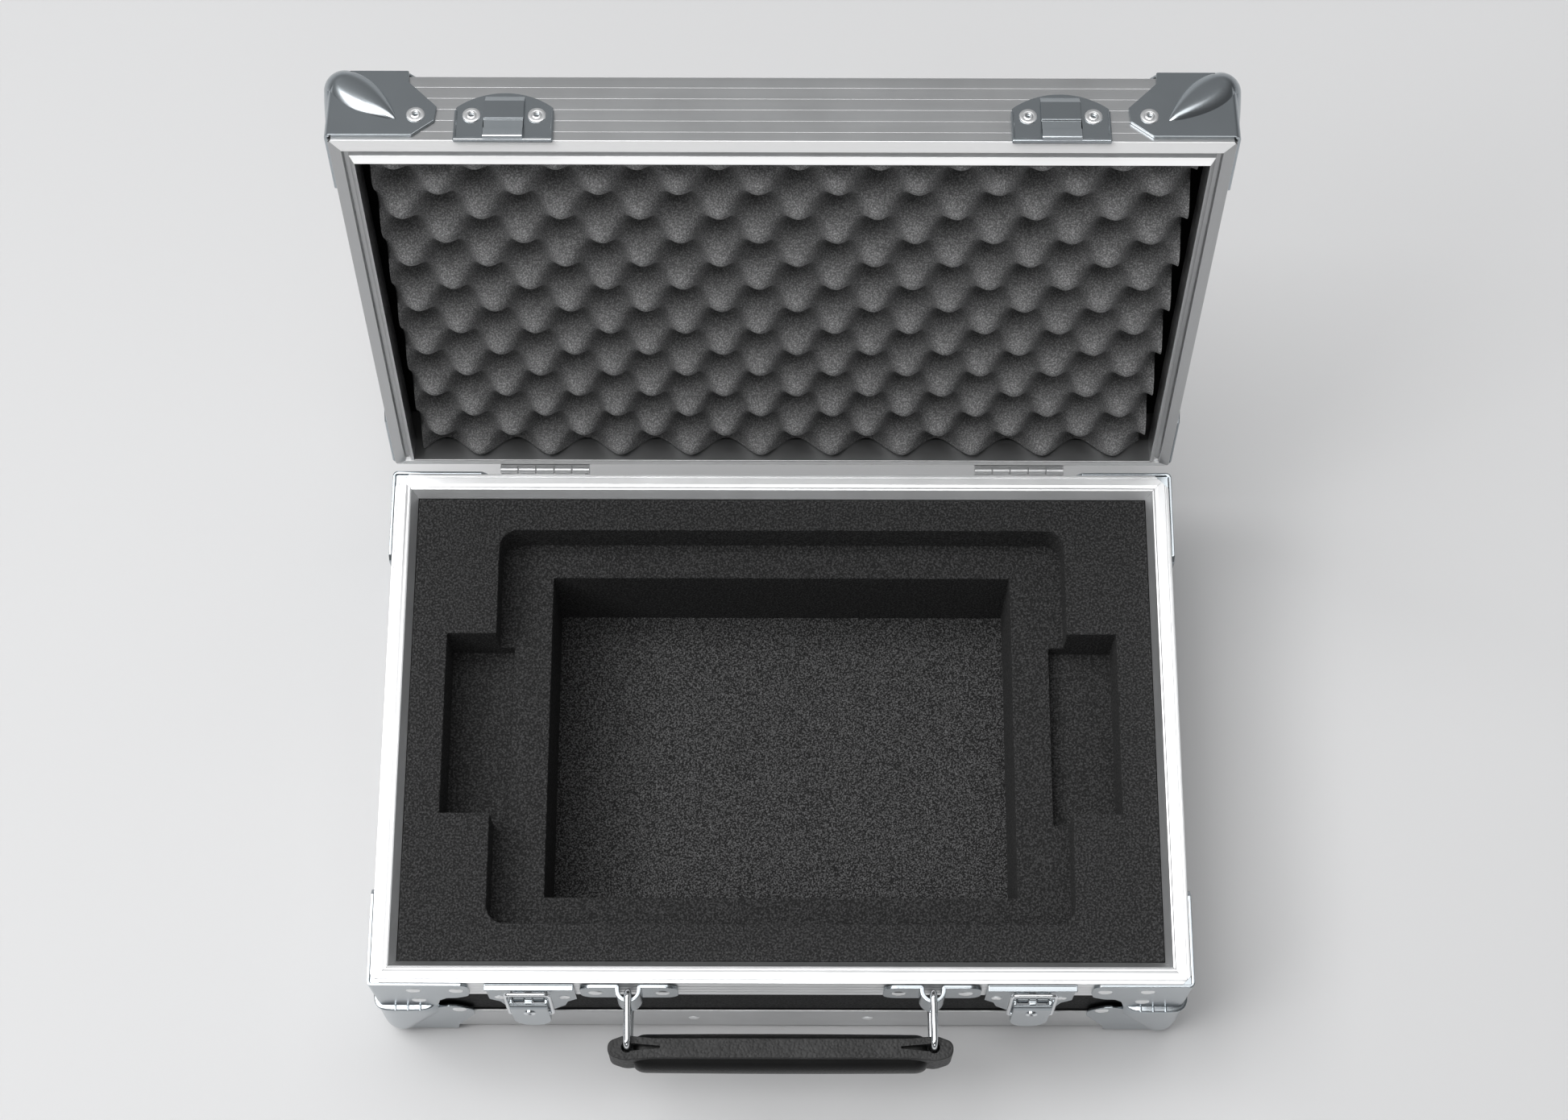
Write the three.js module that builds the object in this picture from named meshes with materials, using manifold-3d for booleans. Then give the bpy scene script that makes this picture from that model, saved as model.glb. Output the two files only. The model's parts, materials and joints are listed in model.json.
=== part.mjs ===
// Aluminium attache case with a hinged lid, foam lining, two draw catches and a ringed handle.
// Millimetres. X runs left to right, Y front to back, Z up.
// The origin is the centre of the bottom panel's underside. The lid stands open on its hinge stops.
import * as THREE from 'three';
import { mergeVertices } from 'three/addons/utils/BufferGeometryUtils.js';
import Module from 'manifold-3d';

const wasm = await Module();
wasm.setup();

// ---- Driving dimensions -------------------------------------------------------------------
const width = 450; // outside of the frame, left to right
const depth = 300; // outside of the frame, front to back
const baseHeight = 115; // underside of the bottom angles to the rim
const lidHeight = 43; // lid mouth to lid top
const openAngle = THREE.MathUtils.degToRad(100); // the hinges' stop
const closedGap = 0.4; // between the rim and the lid's mouth when shut
const gap = 0.3; // running clearance between neighbouring pieces

const angleSheet = 1.4; // wall of the bottom angle extrusions
const panelSheet = 5; // laminated side and bottom panels
const panelRecess = 1.7; // how far the side panels sit behind the extrusions' faces
const rimZ = baseHeight - angleSheet - gap;
const rimExtrusionHeight = 29.5;
const lowerExtrusionHeight = 38;
const cornerPlate = 1.5; // steel of the corner pieces, standing proud of the extrusions

const hingeBack = 2.6; // hinge line behind the back face
const hingeZ = rimZ + closedGap / 2;
const hingeY = depth / 2 + hingeBack;

const catchX = 138; // centre of each catch
const strapX = 83.5; // centre of each handle strap
const ringBarRadius = 2;
const ringTunnelY = -depth / 2 - 5; // wall-side upright of each ring
const ringReach = 30; // from the wall-side upright to the grip-side upright
const ringTop = rimZ + 2.5;
const ringBottom = rimZ - 29.5;

// ---- Geometry helpers ---------------------------------------------------------------------
function toSolid(geometry) {
  const bare = geometry.index ? geometry.clone() : geometry;
  for (const name of ['normal', 'uv']) {
    bare.deleteAttribute(name);
  }
  const merged = mergeVertices(bare, 1e-4);
  const vertProperties = new Float32Array(merged.attributes.position.array);
  const triVerts = new Uint32Array(merged.index.array);
  return new wasm.Manifold(new wasm.Mesh({ numProp: 3, vertProperties, triVerts }));
}

function toGeometry(solid) {
  const mesh = solid.getMesh();
  const geometry = new THREE.BufferGeometry();
  geometry.setAttribute('position', new THREE.BufferAttribute(new Float32Array(mesh.vertProperties), 3));
  geometry.setIndex(new THREE.BufferAttribute(new Uint32Array(mesh.triVerts), 1));
  geometry.computeVertexNormals();
  return geometry;
}

function join(solids) {
  return solids.reduce((whole, piece) => whole.add(piece));
}

function cut(solid, tools) {
  return tools.reduce((left, tool) => left.subtract(tool), solid);
}

// A box between two corners.
function boxGeometry(x0, x1, y0, y1, z0, z1) {
  const geometry = new THREE.BoxGeometry(x1 - x0, y1 - y0, z1 - z0);
  return geometry.translate((x0 + x1) / 2, (y0 + y1) / 2, (z0 + z1) / 2);
}

function box(...corners) {
  return toSolid(boxGeometry(...corners));
}

// A cylinder along X, Y or Z between two stations, centred on the two other coordinates.
function rod(axis, radius, from, to, a, b, segments = 16) {
  const geometry = new THREE.CylinderGeometry(radius, radius, to - from, segments);
  const middle = (from + to) / 2;
  if (axis === 'x') {
    geometry.rotateZ(Math.PI / 2).translate(middle, a, b);
  } else if (axis === 'y') {
    geometry.translate(a, middle, b);
  } else {
    geometry.rotateX(Math.PI / 2).translate(a, b, middle);
  }
  return toSolid(geometry);
}

function outline(points) {
  return new THREE.Shape(points.map(([x, y]) => new THREE.Vector2(x, y)));
}

function roundedRectangle(x0, x1, y0, y1, radius) {
  const shape = new THREE.Shape();
  shape.moveTo(x0 + radius, y0);
  shape.lineTo(x1 - radius, y0);
  shape.absarc(x1 - radius, y0 + radius, radius, -Math.PI / 2, 0);
  shape.lineTo(x1, y1 - radius);
  shape.absarc(x1 - radius, y1 - radius, radius, 0, Math.PI / 2);
  shape.lineTo(x0 + radius, y1);
  shape.absarc(x0 + radius, y1 - radius, radius, Math.PI / 2, Math.PI);
  shape.lineTo(x0, y0 + radius);
  shape.absarc(x0 + radius, y0 + radius, radius, Math.PI, Math.PI * 1.5);
  return shape;
}

// A flat plate drawn in the X-Z plane, between two values of Y.
function wallPlate(shape, y0, y1, curveSegments = 4) {
  const geometry = new THREE.ExtrudeGeometry(shape, { depth: y1 - y0, bevelEnabled: false, curveSegments });
  return geometry.rotateX(Math.PI / 2).translate(0, y1, 0);
}

// A flat plate drawn in the X-Y plane, between two values of Z.
function floorPlate(shape, z0, z1, curveSegments = 4) {
  const geometry = new THREE.ExtrudeGeometry(shape, { depth: z1 - z0, bevelEnabled: false, curveSegments });
  return geometry.translate(0, 0, z0);
}

// An outline drawn in the Y-Z plane, swept along X between two stations.
function sidePlate(shape, x0, x1, curveSegments = 4) {
  const geometry = new THREE.ExtrudeGeometry(shape, { depth: x1 - x0, bevelEnabled: false, curveSegments });
  return geometry.rotateX(Math.PI / 2).rotateZ(Math.PI / 2).translate(x0, 0, 0);
}

function mirroredX(geometry) {
  const flipped = geometry.index ? geometry.toNonIndexed() : geometry.clone();
  const position = flipped.attributes.position;
  const corner = new THREE.Vector3();
  const other = new THREE.Vector3();
  for (let i = 0; i < position.count; i += 3) {
    corner.fromBufferAttribute(position, i + 1);
    other.fromBufferAttribute(position, i + 2);
    position.setXYZ(i + 1, other.x, other.y, other.z);
    position.setXYZ(i + 2, corner.x, corner.y, corner.z);
  }
  for (let i = 0; i < position.count; i += 1) {
    position.setX(i, -position.getX(i));
  }
  for (const name of ['normal', 'uv']) {
    flipped.deleteAttribute(name);
  }
  const merged = mergeVertices(flipped, 1e-4);
  merged.computeVertexNormals();
  return merged;
}

// ---- Materials ----------------------------------------------------------------------------
const finishes = {
  aluminium: { color: 0xb9bbbd, roughness: 0.38, metalness: 0.9 },
  steel: { color: 0x8d9296, roughness: 0.3, metalness: 0.95 },
  chrome: { color: 0xe4e6e8, roughness: 0.12, metalness: 1 },
  laminate: { color: 0x222223, roughness: 0.6, metalness: 0 },
  foam: { color: 0x3a3a3c, roughness: 0.95, metalness: 0 },
  eggcrate: { color: 0x626264, roughness: 0.95, metalness: 0 },
  rubber: { color: 0x2b2b2b, roughness: 0.75, metalness: 0 },
};

const attacheCase = new THREE.Group();
const lid = new THREE.Group();
lid.position.set(0, hingeY, hingeZ);
lid.rotation.x = -openAngle;
attacheCase.add(lid);

function addPiece(parent, name, geometry, finish) {
  const mesh = new THREE.Mesh(geometry, new THREE.MeshStandardMaterial(finishes[finish]));
  mesh.name = name;
  parent.add(mesh);
  return mesh;
}

// ---- Extruded frame bars ------------------------------------------------------------------
// A profile is drawn as [distance in from the outer face, height]. A V groove in the outer face
// is three of its points.
const grooveDepth = 0.45;
const grooveHalfWidth = 0.45;

function facePoints(from, to, grooves) {
  const step = Math.sign(to - from);
  const points = [[0, from]];
  for (const at of grooves) {
    points.push([0, at - step * grooveHalfWidth], [grooveDepth, at], [0, at + step * grooveHalfWidth]);
  }
  return points;
}

const rimProfile = [
  ...facePoints(-rimExtrusionHeight, 0, [-22, -15.5, -9]),
  [0, -0.7],
  [0.3, -0.2],
  [1.2, -0.1],
  [1.5, -0.6],
  [1.9, -0.6],
  [2.3, -0.15],
  [4.2, 0],
  [6.4, -0.05],
  [7.9, -0.35],
  [8.4, -0.3],
  [8.7, 0],
  [9.5, -0.1],
  [9.8, -3.9],
  [13.3, -5.6],
  [13.3, -6.4],
  [8.5, -7.6],
  [8.5, -rimExtrusionHeight + 2],
  [7, -rimExtrusionHeight + 2],
  [7, -12],
  [1.4, -12],
  [1.4, -rimExtrusionHeight],
];

const lowerProfile = [
  [0, -angleSheet - gap],
  ...facePoints(0.6, lowerExtrusionHeight, [12.5, 25]).slice(1),
  [0, lowerExtrusionHeight - 2.4],
  [0.5, lowerExtrusionHeight - 2.1],
  [0, lowerExtrusionHeight - 1.8],
  [0.1, lowerExtrusionHeight - 0.2],
  [0.4, lowerExtrusionHeight],
  [1.4, lowerExtrusionHeight],
  [1.4, -gap],
  [24, -gap],
  [24, -angleSheet - gap],
];

const lidGrooves = [7.5, 14.5, 21.5, 28.5, 35.5];
const lidProfile = [
  [0.4, 0],
  ...facePoints(0.5, lidHeight, lidGrooves),
  [0, lidHeight - 1.4],
  [0.5, lidHeight - 0.4],
  [1.5, lidHeight],
  [19, lidHeight],
  [19, lidHeight - 1.3],
  [1.6, lidHeight - 1.3],
  [1.6, 5],
  [10.9, 5],
  [10.9, 12],
  [12.6, 12],
  [12.6, -2.8],
  [12.2, -3.1],
  [10.5, -3.1],
  [10.1, -2.6],
  [10, 2.6],
  [3.4, 2.6],
  [3.1, 0],
];

// A bar with both ends mitred at 45 degrees, lying along X with its outer face at -Y. Each end's
// outer tip is cut off square to the mitre, leaving a small three-cornered gap at the case's corner.
function mitredBar(profile, length, offset, trims) {
  const mitreGap = 0.25;
  const geometry = new THREE.ExtrudeGeometry(outline(profile), { depth: 1, bevelEnabled: false });
  const position = geometry.attributes.position;
  for (let i = 0; i < position.count; i += 1) {
    const inward = position.getX(i);
    const height = position.getY(i);
    const station = position.getZ(i) - 0.5;
    position.setXYZ(i, station * (length - 2 * inward - 2 * mitreGap), inward - offset, height);
  }
  const wedges = trims.map((trim, end) => {
    const wedge = new THREE.BoxGeometry(trim * Math.SQRT2, trim * Math.SQRT2, 200);
    wedge.rotateZ(Math.PI / 4).translate(((end ? 1 : -1) * length) / 2, -offset, 0);
    return toSolid(wedge);
  });
  return toGeometry(cut(toSolid(geometry), wedges));
}

// `ends` are the case's corners at the bar's own -X and +X ends.
const sides = [
  { name: 'front', length: width, offset: depth / 2, turn: 0, ends: ['front', 'front'] },
  { name: 'right', length: depth, offset: width / 2, turn: Math.PI / 2, ends: ['front', 'back'] },
  { name: 'back', length: width, offset: depth / 2, turn: Math.PI, ends: ['back', 'back'] },
  { name: 'left', length: depth, offset: width / 2, turn: -Math.PI / 2, ends: ['back', 'front'] },
];

function addFrame(parent, suffix, profile, centre, cornerTrim) {
  for (const side of sides) {
    const trims = side.ends.map((end) => cornerTrim[end]);
    const geometry = mitredBar(profile, side.length, side.offset, trims);
    const bar = addPiece(parent, `${suffix}_${side.name}`, geometry, 'aluminium');
    bar.rotation.z = side.turn;
    bar.position.copy(centre);
  }
}

const rimTrim = { front: 5, back: 8 };
const smallTrim = { front: 3, back: 3 };
addFrame(attacheCase, 'rim_extrusion', rimProfile, new THREE.Vector3(0, 0, rimZ), rimTrim);
addFrame(attacheCase, 'lower_extrusion', lowerProfile, new THREE.Vector3(0, 0, 0), smallTrim);

// The lid group's origin is the hinge line, and its frame is the shut position.
const lidCentreY = -hingeY;
const mouthZ = rimZ + closedGap - hingeZ;
addFrame(lid, 'lid_extrusion', lidProfile, new THREE.Vector3(0, lidCentreY, mouthZ), smallTrim);

// ---- Panels -------------------------------------------------------------------------------
const panelOuterX = width / 2 - panelRecess;
const panelOuterY = depth / 2 - panelRecess;
const panelTop = rimZ - 12 - gap;

function addWallPanel(name, x0, x1, y0, y1) {
  addPiece(attacheCase, name, boxGeometry(x0, x1, y0, y1, 0, panelTop), 'laminate');
}
const panelInnerX = panelOuterX - panelSheet;
const panelInnerY = panelOuterY - panelSheet;
addWallPanel('panel_front', -panelOuterX, panelOuterX, -panelOuterY, -panelInnerY);
addWallPanel('panel_back', -panelOuterX, panelOuterX, panelInnerY, panelOuterY);
const sidePanelY = panelInnerY - gap;
addWallPanel('panel_left', -panelOuterX, -panelInnerX, -sidePanelY, sidePanelY);
addWallPanel('panel_right', panelInnerX, panelOuterX, -sidePanelY, sidePanelY);
const bottomX = panelInnerX - gap;
const bottomY = panelInnerY - gap;

// The bottom panel has a shallow rebate round its edge, which the angles' flanges lie in. Its full
// face is the field between the flanges, with its corners cut off short of the corner pieces.
function bottomPanelGeometry() {
  const rebate = 0.3;
  const fieldX = width / 2 - 24.5;
  const fieldY = depth / 2 - 24.5;
  const cornerCut = 26;
  const field = outline([
    [fieldX - cornerCut, -fieldY],
    [fieldX, -fieldY + cornerCut],
    [fieldX, fieldY - cornerCut],
    [fieldX - cornerCut, fieldY],
    [-fieldX + cornerCut, fieldY],
    [-fieldX, fieldY - cornerCut],
    [-fieldX, -fieldY + cornerCut],
    [-fieldX + cornerCut, -fieldY],
  ]);
  return toGeometry(join([
    box(-bottomX, bottomX, -bottomY, bottomY, rebate, panelSheet),
    toSolid(floorPlate(field, 0, panelSheet - 1)),
  ]));
}
addPiece(attacheCase, 'panel_bottom', bottomPanelGeometry(), 'laminate');

const lidPanelTop = mouthZ + lidHeight - 1.3 - gap;
const lidPanelX = width / 2 - 1.6 - gap;
const lidPanelY = depth / 2 - 1.6 - gap;
addPiece(
  lid,
  'lid_panel',
  boxGeometry(
    -lidPanelX,
    lidPanelX,
    lidCentreY - lidPanelY,
    lidCentreY + lidPanelY,
    lidPanelTop - 4,
    lidPanelTop,
  ),
  'laminate',
);

// ---- Foam ---------------------------------------------------------------------------------
const foamTop = rimZ - 5.5;
const foamPadTop = 11;
const stepDepth = 25.5;
const pocketDepth = 36.5;
const foamFloor = foamTop - stepDepth;
const pocketFloor = foamTop - pocketDepth;
const foamShoulder = rimZ - 8;

const front = -depth / 2;
const wellX = 133.5;
const wellFront = front + 55.5;
const wellBack = front + 247;

// The pad is pressed down a little by the insert, and stands full height in the insert's well.
function floorPadGeometry() {
  const pressed = 0.3;
  return toGeometry(join([
    box(-bottomX + 1, bottomX - 1, -bottomY + 1, bottomY - 1, panelSheet + gap, foamPadTop - pressed),
    box(-wellX + gap, wellX - gap, wellFront + gap, wellBack - gap, panelSheet + 1, foamPadTop),
  ]));
}
addPiece(attacheCase, 'foam_floor_pad', floorPadGeometry(), 'foam');

// The insert is one block with a wide stepped recess, a deep well through it and two side pockets.
function foamInsertGeometry() {
  const bodyX = width / 2 - 9;
  const bodyY = depth / 2 - 9;
  const topX = width / 2 - 13.7;
  const topY = depth / 2 - 13.7;
  const over = 5;
  const body = join([
    box(-bodyX, bodyX, -bodyY, bodyY, foamPadTop + gap, foamShoulder),
    box(-topX, topX, -topY, topY, foamShoulder - over, foamTop),
  ]);
  const recess = roundedRectangle(-163.5, 163.5, front + 34.5, front + 267.3, 11);
  const step = toSolid(floorPlate(recess, foamFloor, foamTop + over));
  const well = box(-wellX, wellX, wellFront, wellBack, 0, foamTop);
  const pockets = [-1, 1].map((side) => {
    const near = side * 155;
    const far = side * 191.7;
    const x0 = Math.min(near, far);
    const x1 = Math.max(near, far);
    return box(x0, x1, front + 97.8, front + 204, pocketFloor, foamTop + over);
  });
  return toGeometry(cut(body, [step, well, ...pockets]));
}
addPiece(attacheCase, 'foam_insert', foamInsertGeometry(), 'foam');

// The egg-crate foam is a plain block here, up to the foam's peaks, which stand just out of the lid.
const lidFoamSideInset = 17.8;
const lidFoamEndInset = 13.2;
const lidFoamPeak = -2.5;
addPiece(
  lid,
  'lid_foam',
  boxGeometry(
    -width / 2 + lidFoamSideInset,
    width / 2 - lidFoamSideInset,
    lidCentreY - depth / 2 + lidFoamEndInset,
    lidCentreY + depth / 2 - lidFoamEndInset,
    mouthZ + lidFoamPeak,
    lidPanelTop - 4 - gap,
  ),
  'eggcrate',
);

// ---- Corner pieces ------------------------------------------------------------------------
// Each is drawn for the front right corner. Outlines are [in from the corner edge, height], and
// both faces get the same outline, folded round the edge.
const plateOuter = gap + cornerPlate;

// One leaf on the front face and its twin on the side face. Points are [in from the edge, z].
function foldedLeaves(points) {
  const frontLeaf = wallPlate(
    outline(points.map(([inward, z]) => [width / 2 - inward, z])),
    -depth / 2 - plateOuter,
    -depth / 2 - gap,
  );
  const sideLeaf = sidePlate(
    outline(points.map(([inward, z]) => [-depth / 2 + inward, z])),
    width / 2 + gap,
    width / 2 + plateOuter,
  );
  return [toSolid(frontLeaf), toSolid(sideLeaf)];
}

const braceOutline = [
  [-plateOuter, 0],
  [50, 0],
  [53, -4],
  [53.3, -18],
  [52, -26],
  [48, -30],
  [39, -31.5],
  [34.5, -38],
  [32, -46],
  [-plateOuter, -46],
];

function braceGeometry() {
  const atRim = braceOutline.map(([inward, z]) => [inward, rimZ + z]);
  return toGeometry(join(foldedLeaves(atRim)));
}

// Ball corner: two wall leaves, a floor leaf, a ball and three tapering ridges, hollowed by the box.
function ballCornerGeometry(wallLeaf, floorLeaf, edgeZ, up, ridgeRise) {
  const ballRadius = 11;
  const ballInset = 5.8;
  const inner = new THREE.Vector3(width / 2 - ballInset, -depth / 2 + ballInset, edgeZ + up * 6);
  const ball = new THREE.SphereGeometry(ballRadius, 16, 10).translate(inner.x, inner.y, inner.z);
  const floorZ = [edgeZ - up * gap, edgeZ - up * plateOuter].sort((a, b) => a - b);
  const floorShape = outline(floorLeaf.map(([x, y]) => [width / 2 - x, -depth / 2 + y]));
  const ridgeTips = [
    new THREE.Vector3(width / 2 - 33, -depth / 2 + 1, edgeZ + up * ridgeRise),
    new THREE.Vector3(width / 2 - 1, -depth / 2 + 33, edgeZ + up * ridgeRise),
    new THREE.Vector3(width / 2 - 31, -depth / 2 + 31, edgeZ + up * 1),
  ];
  const ridges = ridgeTips.map((tip) => {
    const along = tip.clone().sub(inner);
    const cone = new THREE.CylinderGeometry(1.2, ballRadius * 0.97, along.length(), 12);
    cone.translate(0, along.length() / 2, 0);
    const turn = new THREE.Quaternion().setFromUnitVectors(
      new THREE.Vector3(0, 1, 0),
      along.clone().normalize(),
    );
    cone.applyQuaternion(turn).translate(inner.x, inner.y, inner.z);
    return toSolid(cone);
  });
  const whole = join([
    ...foldedLeaves(wallLeaf),
    toSolid(floorPlate(floorShape, floorZ[0], floorZ[1])),
    toSolid(ball),
    ...ridges,
  ]);
  const far = 120;
  const boxZ = [edgeZ - up * gap, edgeZ + up * far].sort((a, b) => a - b);
  const caseBox = box(
    width / 2 - far,
    width / 2 + gap,
    -depth / 2 - gap,
    -depth / 2 + far,
    boxZ[0],
    boxZ[1],
  );
  return toGeometry(cut(whole, [caseBox]));
}

const underZ = -angleSheet - gap;
const baseLeaf = [
  [-plateOuter, underZ - plateOuter],
  [37, underZ - plateOuter],
  [38.5, underZ + 9],
  [50.5, underZ + 38],
  [51, underZ + 48],
  [42.5, underZ + 59],
  [37.5, underZ + 60.5],
  [30, underZ + 57],
  [26, underZ + 65],
  [-plateOuter, underZ + 65],
];
const baseFloorLeaf = [
  [-plateOuter, -plateOuter],
  [37, -plateOuter],
  [37, 18],
  [18, 37],
  [-plateOuter, 37],
];
const lidTopZ = mouthZ + lidHeight;
const lidLeaf = [
  [-plateOuter, mouthZ + 4.5],
  [42, mouthZ + 4.5],
  [52.5, mouthZ + 22],
  [52, mouthZ + 29],
  [38, mouthZ + 39],
  [38, lidTopZ + plateOuter],
  [-plateOuter, lidTopZ + plateOuter],
];
const lidFloorLeaf = [
  [-plateOuter, -plateOuter],
  [38, -plateOuter],
  [50, 12],
  [12, 50],
  [-plateOuter, 38],
];

const corners = [
  { name: 'front_right', right: true, front: true },
  { name: 'front_left', right: false, front: true },
  { name: 'back_right', right: true, front: false },
  { name: 'back_left', right: false, front: false },
];

// The front pair is the drawn corner and its mirror image; the back pair is those turned about Z.
function addCorners(parent, suffix, geometry, finish, centreY = 0) {
  const mirrored = mirroredX(geometry);
  for (const corner of corners) {
    const drawn = corner.right === corner.front;
    const piece = addPiece(parent, `${suffix}_${corner.name}`, drawn ? geometry : mirrored, finish);
    piece.rotation.z = corner.front ? 0 : Math.PI;
    piece.position.y = centreY;
  }
}

addCorners(attacheCase, 'corner_brace', braceGeometry(), 'steel');
const baseBall = ballCornerGeometry(baseLeaf, baseFloorLeaf, underZ, 1, 44);
addCorners(attacheCase, 'base_ball_corner', baseBall, 'steel');
const lidBall = ballCornerGeometry(lidLeaf, lidFloorLeaf, lidTopZ, -1, 29);
addCorners(lid, 'lid_ball_corner', lidBall, 'steel', lidCentreY);

// ---- Handle -------------------------------------------------------------------------------
const strapHeight = 25;
const strapTop = rimZ - 1;
const strapSheet = 2.2;
const wall = -depth / 2;

// Drawn from above: two wings on the wall and a round tunnel for the ring's upright.
function strapGeometry() {
  const reach = 27;
  const tunnelInner = 4.9;
  const tunnelOuter = tunnelInner + strapSheet;
  const tunnelY = wall - 3.2;
  const wingFace = wall - gap - strapSheet;
  const shape = new THREE.Shape();
  shape.moveTo(-reach, wall - gap);
  shape.lineTo(-reach, wingFace);
  shape.lineTo(-tunnelOuter, wingFace);
  shape.absarc(0, tunnelY, tunnelOuter, Math.PI, 2 * Math.PI);
  shape.lineTo(tunnelOuter, wingFace);
  shape.lineTo(reach, wingFace);
  shape.lineTo(reach, wall - gap);
  shape.lineTo(tunnelInner, wall - gap);
  shape.lineTo(tunnelInner, tunnelY);
  shape.absarc(0, tunnelY, tunnelInner, 0, Math.PI, true);
  shape.lineTo(-tunnelInner, wall - gap);
  const strap = toSolid(floorPlate(shape, strapTop - strapHeight, strapTop, 8));
  const clip = 6;
  const trims = [];
  for (const side of [-1, 1]) {
    for (const z of [strapTop - strapHeight, strapTop]) {
      const wedge = new THREE.BoxGeometry(clip * Math.SQRT2, 20, clip * Math.SQRT2);
      wedge.rotateY(Math.PI / 4).translate(side * reach, wall, z);
      trims.push(toSolid(wedge));
    }
  }
  return toGeometry(cut(strap, trims));
}

// A closed rectangle of round wire in the Y-Z plane, with bevelled (octagonal) section.
function ringGeometry() {
  const bevel = 1.15;
  const half = ringBarRadius;
  const z0 = ringBottom - half + bevel;
  const z1 = ringTop + half - bevel;
  const y0 = ringTunnelY - ringReach - half + bevel;
  const y1 = ringTunnelY + half - bevel;
  const bar = 2 * (half - bevel);
  const shape = roundedRectangle(y0, y1, z0, z1, 3.2);
  const hole = roundedRectangle(y0 + bar, y1 - bar, z0 + bar, z1 - bar, 1.8);
  shape.holes.push(new THREE.Path(hole.getPoints(3).reverse()));
  const geometry = new THREE.ExtrudeGeometry(shape, {
    depth: bar,
    bevelEnabled: true,
    bevelThickness: bevel,
    bevelSize: bevel,
    bevelSegments: 1,
    curveSegments: 3,
  });
  return geometry.rotateX(Math.PI / 2).rotateZ(Math.PI / 2).translate(-bar / 2, 0, 0);
}

const gripTop = rimZ;
const gripDrop = 26;
const gripY = ringTunnelY - ringReach;

// A flat bar with rounded eyes at its ends, and a rounder body moulded round its middle.
function gripGeometry() {
  const eyeRadius = 7;
  const barHalf = 93.7;
  const bar = roundedRectangle(-barHalf, barHalf, gripY - eyeRadius, gripY + eyeRadius, eyeRadius - 0.01);
  const bodySection = roundedRectangle(gripY - 11.5, gripY + 10, gripTop - gripDrop, gripTop - 3, 8);
  const bodyHalf = 76;
  const solid = join([
    toSolid(floorPlate(bar, gripTop - gripDrop + 1, gripTop, 8)),
    toSolid(sidePlate(bodySection, -bodyHalf, bodyHalf, 4)),
  ]);
  const holes = [-1, 1].map((side) => rod('z', 3, gripTop - 40, gripTop + 5, side * strapX, gripY, 16));
  return toGeometry(cut(solid, holes));
}

for (const [name, x] of [['left', -strapX], ['right', strapX]]) {
  const strap = addPiece(attacheCase, `handle_strap_${name}`, strapGeometry(), 'steel');
  strap.position.x = x;
  const ring = addPiece(attacheCase, `handle_ring_${name}`, ringGeometry(), 'chrome');
  ring.position.x = x;
}
addPiece(attacheCase, 'handle_grip', gripGeometry(), 'rubber');

// ---- Draw catches -------------------------------------------------------------------------
// Drawn about the catch's centre line. The lever hangs from a pin at the top of the plate, and the
// bail hangs from two hooks in the lever's sides.
const leverPinY = wall - 6.5;
const leverPinZ = rimZ - 5.2;
const leverHalf = 10.25;
const leverDrop = 45;
const leverFrontY = wall - 13.3;
const pinRadius = 1.2;
const pinBore = 1.5;
const knuckleRadius = 2.9;
const bailPivotY = wall - 10.6;
const bailPivotZ = rimZ - 27;
const lockZ = leverPinZ - 9.6;
const bailWire = 1.2;
const plateKnuckles = [[-8.6, -2.3], [2.3, 8.6]];
const leverKnuckles = [[-leverHalf, -8.95], [-1.95, 1.95], [8.95, leverHalf]];
const catchFlangeReach = 4.3; // short enough for the lifted lever's shoulder to pass under it
const lugTop = 2.3; // the lugs' height above the pin, low enough for the same

function catchPlateGeometry() {
  const sheet = 1.5;
  const face = wall - gap - sheet;
  const plate = wallPlate(
    outline([
      [-24.5, 0],
      [24.5, 0],
      [24.5, -34],
      [19, -42],
      [17, -50],
      [10, -63],
      [-10, -63],
      [-17, -50],
      [-19, -42],
      [-24.5, -34],
    ].map(([x, z]) => [x, rimZ + z])),
    face,
    wall - gap,
  );
  const flange = box(-24.5, 24.5, wall - catchFlangeReach, face + 0.5, rimZ - 1.3, rimZ);
  const knuckles = plateKnuckles.flatMap(([x0, x1]) => [
    rod('x', knuckleRadius, x0, x1, leverPinY, leverPinZ),
    box(x0, x1, leverPinY, face + 0.5, leverPinZ - 1, leverPinZ + lugTop),
  ]);
  const bore = rod('x', pinBore, -20, 20, leverPinY, leverPinZ);
  const room = [];
  for (const [x0, x1] of leverKnuckles) {
    const x = [x0 - 0.35, x1 + 0.35];
    room.push(rod('x', knuckleRadius + 0.5, x[0], x[1], leverPinY, leverPinZ));
  }
  return toGeometry(cut(join([toSolid(plate), flange, ...knuckles]), [bore, ...room]));
}

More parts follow.
